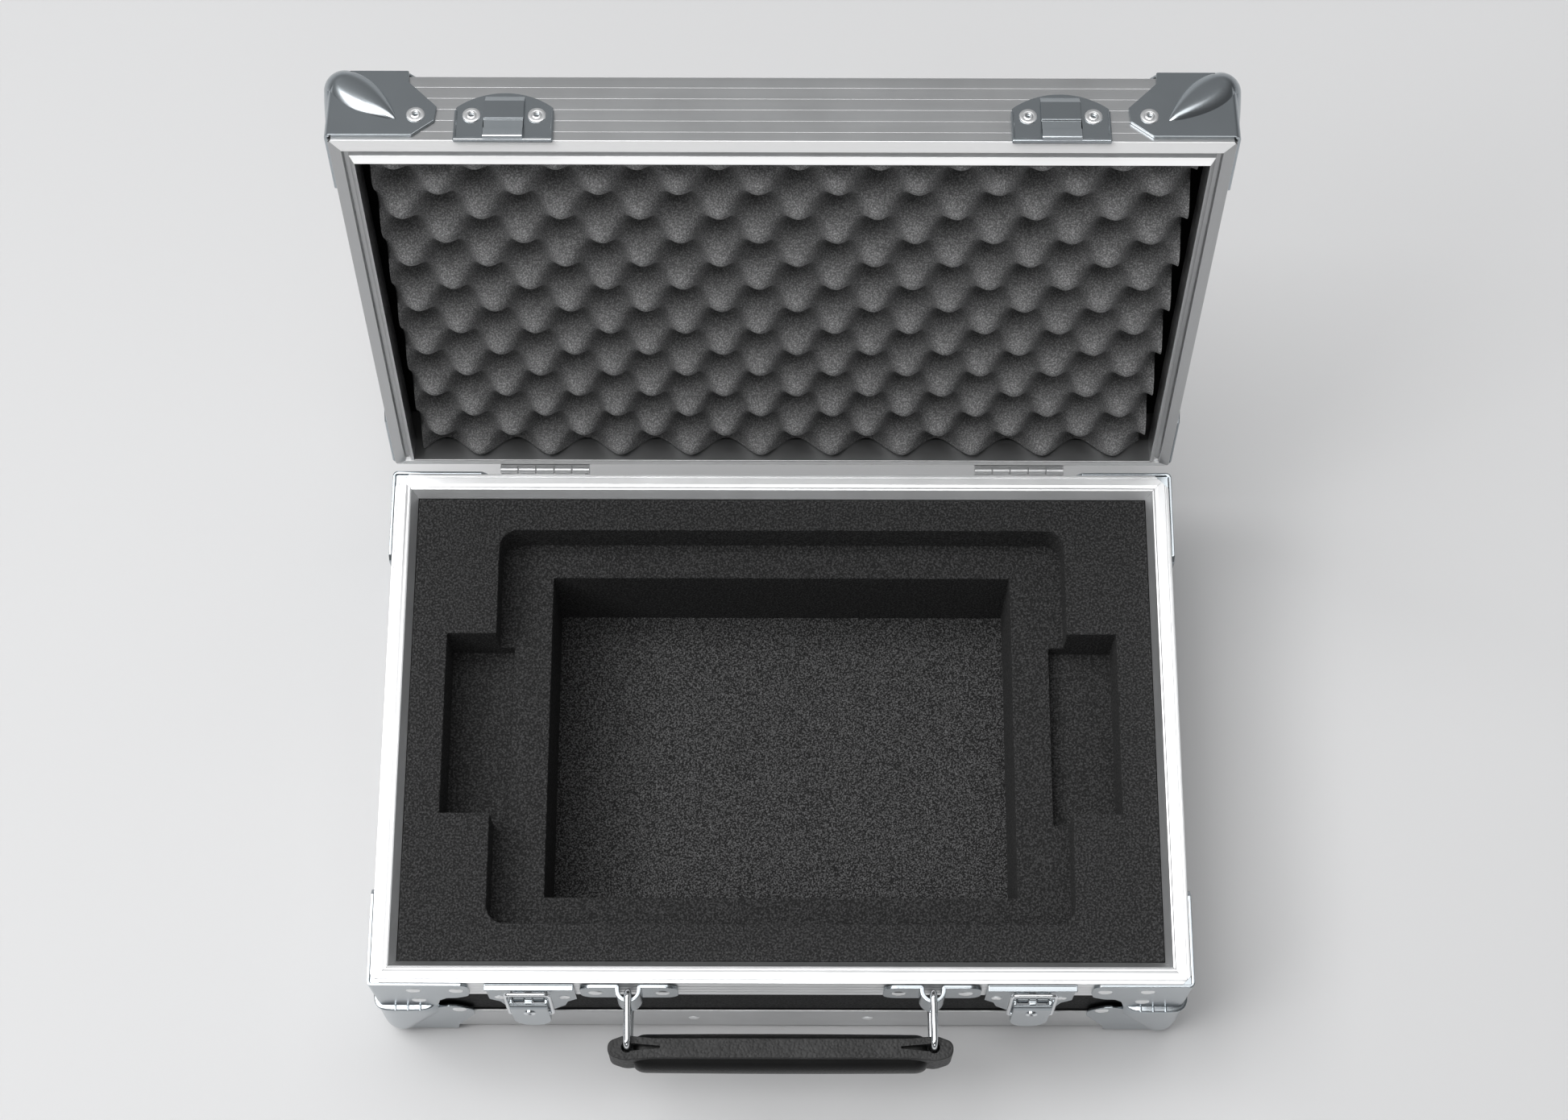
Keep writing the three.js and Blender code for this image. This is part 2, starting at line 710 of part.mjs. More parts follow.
function leverGeometry() {
  const skin = 1.6;
  const bottom = leverPinZ - leverDrop;
  const face = new THREE.Shape();
  face.moveTo(-leverHalf, leverPinZ + 1);
  face.lineTo(-leverHalf, bottom + leverHalf);
  face.absarc(0, bottom + leverHalf, leverHalf, Math.PI, 2 * Math.PI);
  face.lineTo(leverHalf, leverPinZ + 1);
  const front = toSolid(wallPlate(face, leverFrontY, leverFrontY + skin, 8));
  const shoulder = box(-leverHalf, leverHalf, leverFrontY, leverPinY - knuckleRadius + 0.4, leverPinZ - 1.4,
    leverPinZ + 1.9);
  const walls = [-1, 1].map((side) => {
    const x0 = side > 0 ? leverHalf - 1.3 : -leverHalf;
    return box(x0, x0 + 1.3, leverFrontY, leverPinY + 2, leverPinZ - 32, leverPinZ);
  });
  const knuckles = leverKnuckles.flatMap(([x0, x1]) => [
    rod('x', knuckleRadius, x0, x1, leverPinY, leverPinZ),
    box(x0, x1, leverFrontY + 0.5, leverPinY, leverPinZ - 1, leverPinZ + 1.9),
  ]);
  const bore = rod('x', pinBore, -20, 20, leverPinY, leverPinZ);
  const hookBore = rod('x', bailWire + gap, -20, 20, bailPivotY, bailPivotZ, 12);
  const lockBore = rod('y', 3.6, leverFrontY - 5, leverFrontY + 5, 0, lockZ);
  const room = plateKnuckles.map(([x0, x1]) =>
    rod('x', knuckleRadius + 0.5, x0 - 0.35, x1 + 0.35, leverPinY, leverPinZ));
  return toGeometry(cut(join([front, shoulder, ...walls, ...knuckles]), [bore, hookBore, lockBore, ...room]));
}

// A loop of wire: a top bar, two legs and two hooks turned in through the lever's sides.
function bailGeometry() {
  const legX = 11.9;
  const barZ = rimZ + 9.8;
  const barY = wall - 8.6;
  const bend = 3;
  const from = (x, y, z) => new THREE.Vector3(x, y, z);
  const lean = (z) => bailPivotY + ((barY - bailPivotY) * (z - bailPivotZ)) / (barZ - bailPivotZ);
  const path = new THREE.CurvePath();
  const hookX = leverHalf - 1.6;
  const lowZ = bailPivotZ + bend;
  const highZ = barZ - bend;
  const half = [
    [from(hookX, bailPivotY, bailPivotZ), from(legX - bend * 0.6, bailPivotY, bailPivotZ)],
    [from(legX, lean(lowZ), lowZ), from(legX, lean(highZ), highZ)],
  ];
  path.add(new THREE.LineCurve3(half[0][0], half[0][1]));
  path.add(new THREE.QuadraticBezierCurve3(half[0][1], from(legX, bailPivotY, bailPivotZ), half[1][0]));
  path.add(new THREE.LineCurve3(half[1][0], half[1][1]));
  const topRight = from(legX - bend, barY, barZ);
  const topLeft = from(-legX + bend, barY, barZ);
  path.add(new THREE.QuadraticBezierCurve3(half[1][1], from(legX, barY, barZ), topRight));
  path.add(new THREE.LineCurve3(topRight, topLeft));
  const mirror = (point) => from(-point.x, point.y, point.z);
  path.add(new THREE.QuadraticBezierCurve3(topLeft, from(-legX, barY, barZ), mirror(half[1][1])));
  path.add(new THREE.LineCurve3(mirror(half[1][1]), mirror(half[1][0])));
  path.add(
    new THREE.QuadraticBezierCurve3(
      mirror(half[1][0]),
      from(-legX, bailPivotY, bailPivotZ),
      mirror(half[0][1]),
    ),
  );
  path.add(new THREE.LineCurve3(mirror(half[0][1]), mirror(half[0][0])));
  const section = new THREE.Shape();
  section.absarc(0, 0, bailWire, 0, Math.PI * 2);
  return new THREE.ExtrudeGeometry(section, { steps: 48, extrudePath: path, curveSegments: 4 });
}

function lockGeometry() {
  const head = rod('y', 3.3, leverFrontY - 0.8, leverFrontY + 4, 0, lockZ);
  const cam = box(-1.6, 1.6, leverFrontY + 2.6, leverFrontY + 4, lockZ - 6.2, lockZ);
  const keyway = box(-0.5, 0.5, leverFrontY - 2, leverFrontY + 1.5, lockZ - 2, lockZ + 2);
  return toGeometry(cut(join([head, cam]), [keyway]));
}

function catchPinGeometry() {
  const geometry = new THREE.CylinderGeometry(pinRadius, pinRadius, 2 * leverHalf - 0.8, 12);
  return geometry.rotateZ(Math.PI / 2).translate(0, leverPinY, leverPinZ);
}

// Keeper on the lid's front wall, in the lid's shut frame.
function keeperGeometry() {
  const face = lidCentreY - depth / 2;
  const sheet = 1.3;
  const shape = new THREE.Shape();
  shape.moveTo(-24.7, mouthZ + 0.3);
  shape.lineTo(24.7, mouthZ + 0.3);
  shape.lineTo(24.7, mouthZ + 20);
  shape.quadraticCurveTo(14, mouthZ + 31, 0, mouthZ + 31.4);
  shape.quadraticCurveTo(-14, mouthZ + 31, -24.7, mouthZ + 20);
  const plate = toSolid(wallPlate(shape, face - gap - sheet, face - gap, 6));
  const hook = sidePlate(
    outline([
      [face - gap - 0.5, mouthZ + 0.3],
      [face - 4.6, mouthZ + 1.5],
      [face - 5.7, mouthZ + 3.4],
      [face - 5.7, mouthZ + 6.2],
      [face - 4.8, mouthZ + 6.6],
      [face - 3.2, mouthZ + 7.2],
      [face - 2.8, mouthZ + 9.2],
      [face - 3.3, mouthZ + 11.4],
      [face - 4.3, mouthZ + 13],
      [face - 4.3, mouthZ + 23],
      [face - gap - 0.5, mouthZ + 26.5],
    ]),
    -10,
    10,
  );
  return toGeometry(join([plate, toSolid(hook)]));
}

for (const [name, x] of [['left', -catchX], ['right', catchX]]) {
  const pieces = [
    addPiece(attacheCase, `catch_plate_${name}`, catchPlateGeometry(), 'steel'),
    addPiece(attacheCase, `catch_pin_${name}`, catchPinGeometry(), 'steel'),
    addPiece(attacheCase, `catch_lever_${name}`, leverGeometry(), 'chrome'),
    addPiece(attacheCase, `catch_bail_${name}`, bailGeometry(), 'chrome'),
    addPiece(attacheCase, `catch_lock_${name}`, lockGeometry(), 'chrome'),
    addPiece(lid, `catch_keeper_${name}`, keeperGeometry(), 'steel'),
  ];
  for (const piece of pieces) {
    piece.position.x = x;
  }
}

// ---- Hinges -------------------------------------------------------------------------------
const hingeX = 138;
const hingeHalf = 26;
const hingeKnuckle = 2.25;
const hingeSheet = 1.4;
const hingeBore = 1.35;
const hingePin = 1.05;
const baseKnuckles = [[-hingeHalf, -15.8], [-5.1, 5.1], [15.8, hingeHalf]];
const lidKnuckles = [[-15.4, -5.5], [5.5, 15.4]];

// A leaf lies on the back face and ends in knuckles round the hinge line. `up` is +1 on the lid.
function hingeLeafGeometry(backY, lineY, lineZ, up, own, others) {
  const leafEdge = 24;
  const zs = [lineZ + up * 1, lineZ + up * leafEdge].sort((a, b) => a - b);
  const leaf = box(-hingeHalf, hingeHalf, backY + gap, backY + gap + hingeSheet, zs[0], zs[1]);
  const knuckles = own.map(([x0, x1]) => rod('x', hingeKnuckle, x0, x1, lineY, lineZ));
  const bore = rod('x', hingeBore, -40, 40, lineY, lineZ);
  const room = others.map(([x0, x1]) =>
    rod('x', hingeKnuckle + 0.5, x0 - 0.4, x1 + 0.4, lineY, lineZ));
  const plateFace = box(-40, 40, backY - 20, backY + gap, lineZ - 20, lineZ + 20);
  return toGeometry(cut(join([leaf, ...knuckles]), [bore, plateFace, ...room]));
}

function hingePinGeometry() {
  return new THREE.CylinderGeometry(hingePin, hingePin, 2 * hingeHalf, 12).rotateZ(Math.PI / 2);
}

for (const [name, x] of [['left', -hingeX], ['right', hingeX]]) {
  const baseLeafGeometry = hingeLeafGeometry(depth / 2, hingeY, hingeZ, -1, baseKnuckles, lidKnuckles);
  const base = addPiece(attacheCase, `hinge_base_leaf_${name}`, baseLeafGeometry, 'steel');
  base.position.x = x;
  const lidLeafGeometry = hingeLeafGeometry(-hingeBack, 0, 0, 1, lidKnuckles, baseKnuckles);
  const top = addPiece(lid, `hinge_lid_leaf_${name}`, lidLeafGeometry, 'steel');
  top.position.x = x;
  const pin = addPiece(attacheCase, `hinge_pin_${name}`, hingePinGeometry(), 'steel');
  pin.position.set(x, hingeY, hingeZ);
}

export default attacheCase;
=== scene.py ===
"""Looks of the aluminium attache case.

Shapes are drawn in millimetres in the row frame: X right, Y back, Z up. Lid pieces are drawn with
the lid shut and then turned open about the hinge line.
"""
import json
import math

import bmesh
import bpy
from mathutils import Matrix, Vector
from mathutils.geometry import tessellate_polygon


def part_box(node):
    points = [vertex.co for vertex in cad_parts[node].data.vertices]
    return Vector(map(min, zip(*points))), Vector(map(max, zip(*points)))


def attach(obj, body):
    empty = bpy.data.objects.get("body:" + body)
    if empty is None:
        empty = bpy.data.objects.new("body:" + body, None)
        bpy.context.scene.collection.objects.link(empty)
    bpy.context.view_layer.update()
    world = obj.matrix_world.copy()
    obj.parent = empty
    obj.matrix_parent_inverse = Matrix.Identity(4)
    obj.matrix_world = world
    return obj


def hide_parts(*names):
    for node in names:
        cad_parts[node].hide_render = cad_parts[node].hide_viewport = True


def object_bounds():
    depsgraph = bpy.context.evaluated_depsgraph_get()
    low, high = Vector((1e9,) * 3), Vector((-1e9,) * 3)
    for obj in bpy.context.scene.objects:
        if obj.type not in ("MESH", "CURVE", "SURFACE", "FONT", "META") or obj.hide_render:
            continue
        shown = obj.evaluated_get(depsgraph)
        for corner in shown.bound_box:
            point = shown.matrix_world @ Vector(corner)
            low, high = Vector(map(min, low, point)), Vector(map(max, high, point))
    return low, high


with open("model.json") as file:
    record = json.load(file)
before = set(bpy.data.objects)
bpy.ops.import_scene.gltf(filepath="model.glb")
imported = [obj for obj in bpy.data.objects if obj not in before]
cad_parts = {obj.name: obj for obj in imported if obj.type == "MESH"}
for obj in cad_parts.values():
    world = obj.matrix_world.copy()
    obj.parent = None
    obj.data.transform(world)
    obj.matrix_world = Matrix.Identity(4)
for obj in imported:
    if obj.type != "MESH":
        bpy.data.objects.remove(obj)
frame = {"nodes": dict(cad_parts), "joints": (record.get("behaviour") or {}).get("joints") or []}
cad_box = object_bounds()
nodes = frame["nodes"]
joints = {joint["name"]: joint for joint in frame["joints"]}

# ---- Places taken from the frame ----
MM = 0.001
rim_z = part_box("rim_extrusion_front")[1].z / MM
front_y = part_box("rim_extrusion_front")[0].y / MM
half_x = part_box("rim_extrusion_right")[1].x / MM
half_y = -front_y
under_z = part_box("lower_extrusion_front")[0].z / MM
hinge = Vector(joints["lid_hinge"]["pos_m"]) / MM
open_angle = math.radians(joints["lid_hinge"]["range_deg"][1])
lid_open = (
    Matrix.Translation(hinge)
    @ Matrix.Rotation(-open_angle, 4, "X")
    @ Matrix.Translation(-hinge)
)
lever_pins = {side: Vector(joints[f"lever_{side}_lift"]["pos_m"]) / MM for side in ("left", "right")}
ring_pivots = {
    "left": Vector(joints["handle_swing"]["pos_m"]) / MM,
    "right": Vector(joints["right_ring_pivot"]["pos_m"]) / MM,
}
grip_pivot = Vector(joints["grip_pivot"]["pos_m"]) / MM

# ---- Driving dimensions ----
lid_mouth = rim_z + 0.4
lid_height = 43.0
lid_top = lid_mouth + lid_height
rim_height = 29.5
lower_height = 38.0
gap = 0.3
plate = 1.5
proud = gap + plate
corner_names = {
    "front_right": (1, 1),
    "front_left": (-1, 1),
    "back_right": (1, -1),
    "back_left": (-1, -1),
}


# ---- Outlines ----
def rounded(points, radius=0.0, steps=4):
    """A closed outline with its corners rounded. A point may carry its own radius as a third value."""
    result = []
    count = len(points)
    for i, point in enumerate(points):
        here = Vector(point[:2])
        wanted = point[2] if len(point) > 2 else radius
        before = Vector(points[i - 1][:2]) - here
        after = Vector(points[(i + 1) % count][:2]) - here
        half = before.angle(after) / 2
        if wanted <= 0 or abs(half - math.pi / 2) < 0.02:
            result.append(here)
            continue
        reach = min(wanted / math.tan(half), before.length * 0.48, after.length * 0.48)
        actual = reach * math.tan(half)
        middle = (before.normalized() + after.normalized()).normalized()
        centre = here + middle * (actual / math.sin(half))
        start = here + before.normalized() * reach - centre
        end = here + after.normalized() * reach - centre
        sweep = math.atan2(start.x * end.y - start.y * end.x, start.dot(end))
        for k in range(steps + 1):
            result.append(centre + Matrix.Rotation(sweep * k / steps, 2) @ start)
    return result


def arc(centre, radius, start, end, steps):
    """Points on a circle between two angles in degrees."""
    angles = [math.radians(start + (end - start) * k / steps) for k in range(steps + 1)]
    return [Vector((centre[0] + radius * math.cos(a), centre[1] + radius * math.sin(a))) for a in angles]


def mirrored_outline(half):
    """A closed outline from its right half, mirrored in the vertical axis."""
    return list(half) + [(-x, *rest) for x, *rest in reversed(half) if abs(x) > 1e-6]


def squared_circle(count, power):
    """Points of a unit circle pushed out towards a square, more so for a higher power."""
    points = []
    for k in range(count):
        angle = 2 * math.pi * k / count
        c, s = math.cos(angle), math.sin(angle)
        reach = 1 / (abs(c) ** power + abs(s) ** power) ** (1 / power)
        points.append((reach * c, reach * s))
    return points


def path_length(path):
    return sum((b - a).length for a, b in zip(path, path[1:]))


# ---- Solids ----
def closed_rings(rings, looped=False):
    """A skin through rings of equal count, capped at its ends unless it loops."""
    bm = bmesh.new()
    made = [[bm.verts.new(point) for point in ring] for ring in rings]
    pairs = list(zip(made, made[1:]))
    if looped:
        pairs.append((made[-1], made[0]))
    for low, high in pairs:
        for i in range(len(low)):
            bm.faces.new((low[i - 1], low[i], high[i], high[i - 1]))
    if not looped:
        bm.faces.new(list(reversed(made[0])))
        bm.faces.new(made[-1])
    bmesh.ops.recalc_face_normals(bm, faces=bm.faces)
    return bm


def bevelled(bm, edges, width, steps, clamped=False):
    """Rounds the edges of a bmesh."""
    bmesh.ops.bevel(
        bm,
        geom=edges,
        offset=width,
        offset_type="OFFSET",
        segments=steps,
        profile=0.5,
        affect="EDGES",
        clamp_overlap=clamped,
    )


def slab(outline, near, far, bevel=0.35, steps=2, cuts=()):
    """A plate drawn as (across, up), between two depths, with both its rims rounded."""
    bm = bmesh.new()
    face = bm.faces.new([bm.verts.new((x, z, near)) for x, z in outline])
    grown = bmesh.ops.extrude_face_region(bm, geom=[face])["geom"]
    raised = [item for item in grown if isinstance(item, bmesh.types.BMVert)]
    bmesh.ops.translate(bm, verts=raised, vec=(0, 0, far - near))
    bmesh.ops.recalc_face_normals(bm, faces=bm.faces)
    if bevel:
        rims = [edge for edge in bm.edges if abs(edge.verts[0].co.z - edge.verts[1].co.z) < 1e-6]
        bevelled(bm, rims, bevel, steps)
    for cut in cuts:
        geometry = bm.verts[:] + bm.edges[:] + bm.faces[:]
        bmesh.ops.bisect_plane(bm, geom=geometry, plane_co=(cut, 0, 0), plane_no=(1, 0, 0))
    return bm


def wrapped(outline, thickness, path, to_space, bevel=0.35):
    """A plate bent along a path: `across` runs along the path from its middle, depth outwards."""
    lengths = [0.0]
    for a, b in zip(path, path[1:]):
        lengths.append(lengths[-1] + (b - a).length)
    middle = lengths[-1] / 2
    normals = []
    for i in range(len(path)):
        before = (path[i] - path[max(i - 1, 0)]).normalized() if i else None
        after = (path[i + 1] - path[i]).normalized() if i + 1 < len(path) else None
        along = (before or after) + (after or before)
        along.normalize()
        stretch = 1 / max(along.dot(after or before), 0.3)
        normals.append(Vector((-along.y, along.x)) * stretch)
    bm = slab(outline, 0, thickness, bevel, cuts=[length - middle for length in lengths[1:-1]])
    for vert in bm.verts:
        along, up, depth = vert.co
        along += middle
        i = 0
        while i < len(path) - 2 and along > lengths[i + 1]:
            i += 1
        share = (along - lengths[i]) / (lengths[i + 1] - lengths[i])
        at = path[i].lerp(path[i + 1], share)
        vert.co = to_space(at + normals[i].lerp(normals[i + 1], share) * depth, up)
    bmesh.ops.recalc_face_normals(bm, faces=bm.faces)
    return bm


def block(x0, x1, y0, y1, z0, z1, bevel=0.0, steps=2):
    """A box between two corners, with rounded edges."""
    bm = bmesh.new()
    bmesh.ops.create_cube(bm, size=1)
    for vert in bm.verts:
        vert.co = ((x0, x1)[vert.co.x > 0], (y0, y1)[vert.co.y > 0], (z0, z1)[vert.co.z > 0])
    if bevel:
        bevelled(bm, bm.edges[:], bevel, steps)
    bmesh.ops.recalc_face_normals(bm, faces=bm.faces)
    return bm


def lathe(profile, segments=32, place=None):
    """A profile of (radius, height) turned about Z. It starts and ends on the axis."""
    bm = bmesh.new()
    rings = []
    for radius, height in profile:
        if radius < 1e-6:
            rings.append([bm.verts.new((0, 0, height))])
            continue
        turns = [2 * math.pi * k / segments for k in range(segments)]
        rings.append([bm.verts.new((radius * math.cos(t), radius * math.sin(t), height)) for t in turns])
    for low, high in zip(rings, rings[1:]):
        for k in range(segments):
            near, far = ([ring[i % len(ring)] for i in (k, k + 1)] for ring in (low, high))
            unique = list(dict.fromkeys([*near, *reversed(far)]))
            if len(unique) > 2:
                bm.faces.new(unique)
    bmesh.ops.recalc_face_normals(bm, faces=bm.faces)
    if place:
        bmesh.ops.transform(bm, matrix=place, verts=bm.verts)
    return bm


def tube(points, radius, closed=False, sides=16):
    """Round wire along points. An open wire has rounded ends."""
    count = len(points)
    tangents = []
    for i in range(count):
        after = points[(i + 1) % count] if closed or i + 1 < count else points[i]
        before = points[i - 1] if closed or i > 0 else points[i]
        tangents.append((after - before).normalized())
    side = tangents[0].orthogonal().normalized()
    rings = []
    for i, (point, tangent) in enumerate(zip(points, tangents)):
        side = (side - tangent * side.dot(tangent)).normalized()
        other = tangent.cross(side)
        turns = [2 * math.pi * k / sides for k in range(sides)]
        ring = [side * math.cos(t) + other * math.sin(t) for t in turns]
        if not closed and i in (0, count - 1):
            away = tangent * (-1 if i == 0 else 1)
            for shrink, lift in ((0.97, 0.25), (0.8, 0.6), (0.45, 0.9)):
                extra = [point + away * radius * lift + d * radius * shrink for d in ring]
                rings.append(extra)
            if i == 0:
                rings[-3:] = reversed(rings[-3:])
                rings.append([point + d * radius for d in ring])
            else:
                rings.insert(-3, [point + d * radius for d in ring])
        else:
            rings.append([point + d * radius for d in ring])
    return closed_rings(rings, looped=closed)


def merged(pieces):
    """Several bmeshes as one, without joining their surfaces."""
    whole = bmesh.new()
    for piece in pieces:
        scratch = bpy.data.meshes.new("scratch")
        piece.to_mesh(scratch)
        piece.free()
        whole.from_mesh(scratch)
        bpy.data.meshes.remove(scratch)
    return whole


def combined(base, operation, others):
    """The exact boolean of bmeshes."""
    objects = []
    for bm in (base, *others):
        mesh = bpy.data.meshes.new("scratch")
        bm.to_mesh(mesh)
        bm.free()
        scratch = bpy.data.objects.new("scratch", mesh)
        bpy.context.scene.collection.objects.link(scratch)
        objects.append(scratch)
    for other in objects[1:]:
        modifier = objects[0].modifiers.new("boolean", "BOOLEAN")
        modifier.operation = operation
        modifier.solver = "EXACT"
        modifier.object = other
    evaluated = objects[0].evaluated_get(bpy.context.evaluated_depsgraph_get())
    result = bmesh.new()
    result.from_mesh(evaluated.to_mesh())
    for scratch in objects:
        mesh = scratch.data
        bpy.data.objects.remove(scratch)
        bpy.data.meshes.remove(mesh)
    return result


def soften(bm, width, steps=2, angle=30.0):
    """Rounds every edge sharper than the angle."""
    bmesh.ops.dissolve_limit(bm, angle_limit=0.01, verts=bm.verts[:], edges=bm.edges[:])
    sharp = [e for e in bm.edges if len(e.link_faces) == 2 and e.calc_face_angle(0) > math.radians(angle)]
    bevelled(bm, sharp, width, steps, clamped=True)
    return bm


def reshaped(bm, place):
    """Puts every point where the rule says, and turns the faces outwards."""
    for vert in bm.verts:
        vert.co = place(vert.co)
    bmesh.ops.recalc_face_normals(bm, faces=bm.faces)
    return bm


def on_front(bm):
    """A slab drawn flat as (across, up), stood against the front wall."""
    return reshaped(bm, lambda p: (p.x, -half_y - gap - p.z, p.y))


def moved(bm, matrix):
    """The bmesh moved, turned or mirrored."""
    bmesh.ops.transform(bm, matrix=matrix, verts=bm.verts)
    if matrix.determinant() < 0:
        bmesh.ops.reverse_faces(bm, faces=bm.faces[:])
    return bm


def facing(point, direction):
    """The place of a piece that is drawn about Z, put at a point and facing a direction."""
    turn = Vector((0, 0, 1)).rotation_difference(Vector(direction)).to_matrix().to_4x4()
    return Matrix.Translation(point) @ turn


def roller(start, radius, length, chamfer):
    """A round bar along X from its start, with chamfered ends."""
    neck = radius - chamfer
    profile = [(0, 0), (neck, 0), (radius, chamfer), (radius, length - chamfer), (neck, length), (0, length)]
    return lathe(profile, 32, facing(start, (1, 0, 0)))


def add(name, bm, body, finish, stands_for=(), place=None, sharp=35.0, look=None):
    """Makes the object, in metres, riding on its body. `look` is its material if not the finish's own."""
    mesh = bpy.data.meshes.new(name)
    bm.to_mesh(mesh)
    bm.free()
    if place:
        mesh.transform(place)
        if place.determinant() < 0:
            mesh.flip_normals()
    mesh.transform(Matrix.Scale(MM, 4))
    mesh.shade_smooth()
    mesh.set_sharp_from_angle(angle=math.radians(sharp))
    piece = bpy.data.objects.new(name, mesh)
    bpy.context.scene.collection.objects.link(piece)
    mesh.materials.append(look or finishes[finish])
    flats = piece.modifiers.new("flats", "WEIGHTED_NORMAL")
    flats.keep_sharp = True
    flats.weight = 80
    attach(piece, body)
    if stands_for:
        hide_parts(*stands_for)
    return piece


# ---- Materials ----
def node(tree, kind, inputs=None, **settings):
    """A new node with its inputs linked or set, and its settings."""
    made = tree.nodes.new(kind)
    for key, value in settings.items():
        setattr(made, key, value)
    for key, value in (inputs or {}).items():
        if isinstance(value, bpy.types.NodeSocket):
            tree.links.new(value, made.inputs[key])
        else:
            made.inputs[key].default_value = value
    return made


def material(name, **sockets):
    """A Principled material with the named sockets set, its tree and its shader."""
    made = bpy.data.materials.new(name)
    made.use_nodes = True
    shader = made.node_tree.nodes["Principled BSDF"]
    for socket, value in sockets.items():
        shader.inputs[socket.replace("_", " ")].default_value = value
    return made, made.node_tree, shader


def place_nodes(tree, stretch=(1, 1, 1), tilt=0.0):
    """Object coordinates, turned about X and stretched."""
    coordinates = node(tree, "ShaderNodeTexCoord")
    turned = node(
        tree, "ShaderNodeMapping", {"Vector": coordinates.outputs["Object"], "Rotation": (tilt, 0, 0)}
    )
    return node(tree, "ShaderNodeMapping", {"Vector": turned.outputs[0], "Scale": stretch}).outputs[0]


def noise(tree, vector, scale, detail=2.0):
    inputs = {"Vector": vector, "Scale": scale, "Detail": detail, "Roughness": 0.5}
    return node(tree, "ShaderNodeTexNoise", inputs).outputs["Fac"]


def ranged(tree, value, low, high, from_low=0.3, from_high=0.7):
    """The value stretched from one range to another, and held at its ends."""
    inputs = {"Value": value, "From Min": from_low, "From Max": from_high, "To Min": low, "To Max": high}
    return node(tree, "ShaderNodeMapRange", inputs).outputs["Result"]


def ramp(tree, value, stops):
    """A colour ramp with the given (position, colour) stops."""
    made = node(tree, "ShaderNodeValToRGB", {"Fac": value})
    elements = made.color_ramp.elements
    while len(elements) < len(stops):
        elements.new(0.5)
    for element, (position, colour) in zip(elements, stops):
        element.position = position
        element.color = (*colour, 1)
    return made.outputs["Color"]


def shade(colour, factor):
    return tuple(min(1.0, channel * factor) for channel in colour)


def reach_along(tree, output, direction):
    """How far a texture coordinate reaches along a direction."""
    inputs = {0: node(tree, "ShaderNodeTexCoord").outputs[output], 1: direction}
    return node(tree, "ShaderNodeVectorMath", inputs, operation="DOT_PRODUCT").outputs["Value"]


def mixed_colour(tree, share, first, second):
    """From the first colour to the second as the share goes from 0 to 1."""
    made = node(tree, "ShaderNodeMix", {"Factor": share}, data_type="RGBA")
    for key, value in (("A", first), ("B", second)):
        socket = next(item for item in made.inputs if item.name == key and item.type == "RGBA")
        if isinstance(value, bpy.types.NodeSocket):
            tree.links.new(value, socket)
        else:
            socket.default_value = (*value, 1)
    return next(item for item in made.outputs if item.type == "RGBA")


def metal(name, colour, roughness, lines=None, tilt=0.0, line_depth=0.00001, variation=0.05, mouth=None):
    """Plated or anodised metal: faint cloudiness, and drawing lines along one axis if it has them.

    `mouth` is (direction, colour, metallic) for the faces that look that way, the bar's meeting face: a
    paler colour there is a painted highlight, a darker one painted shade.
    """
    made, tree, shader = material(name, Metallic=1.0, Roughness=roughness)
    cloud = noise(tree, place_nodes(tree), 35.0, 3.0)
    tint = ramp(tree, cloud, [(0.3, shade(colour, 1 - variation)), (0.7, shade(colour, 1 + variation))])
    # The faces that look one way get their own colour and metallic: a painted highlight when paler, painted
    # shade when darker.
    if mouth:
        direction, painted_mouth_colour, mouth_metallic = mouth
        cosine = reach_along(tree, "Normal", direction)
        share = ranged(tree, cosine, 0.0, 1.0, 0.5, 0.6)
        tint = mixed_colour(tree, share, tint, painted_mouth_colour)
        tree.links.new(ranged(tree, share, 1.0, mouth_metallic, 0.0, 1.0), shader.inputs["Metallic"])
    tree.links.new(tint, shader.inputs["Base Color"])
    if lines is None:
        texture = noise(tree, place_nodes(tree), 900.0)
    else:
        stretch = [1.0, 1.0, 1.0]
        stretch[lines] = 0.006
        texture = noise(tree, place_nodes(tree, stretch, tilt), 1600.0)
    rough = ranged(tree, texture, roughness * 0.96, roughness * 1.04)
    tree.links.new(rough, shader.inputs["Roughness"])
    bump = node(tree, "ShaderNodeBump", {"Strength": 0.35, "Distance": line_depth, "Height": texture})
    tree.links.new(bump.outputs[0], shader.inputs["Normal"])
    return made


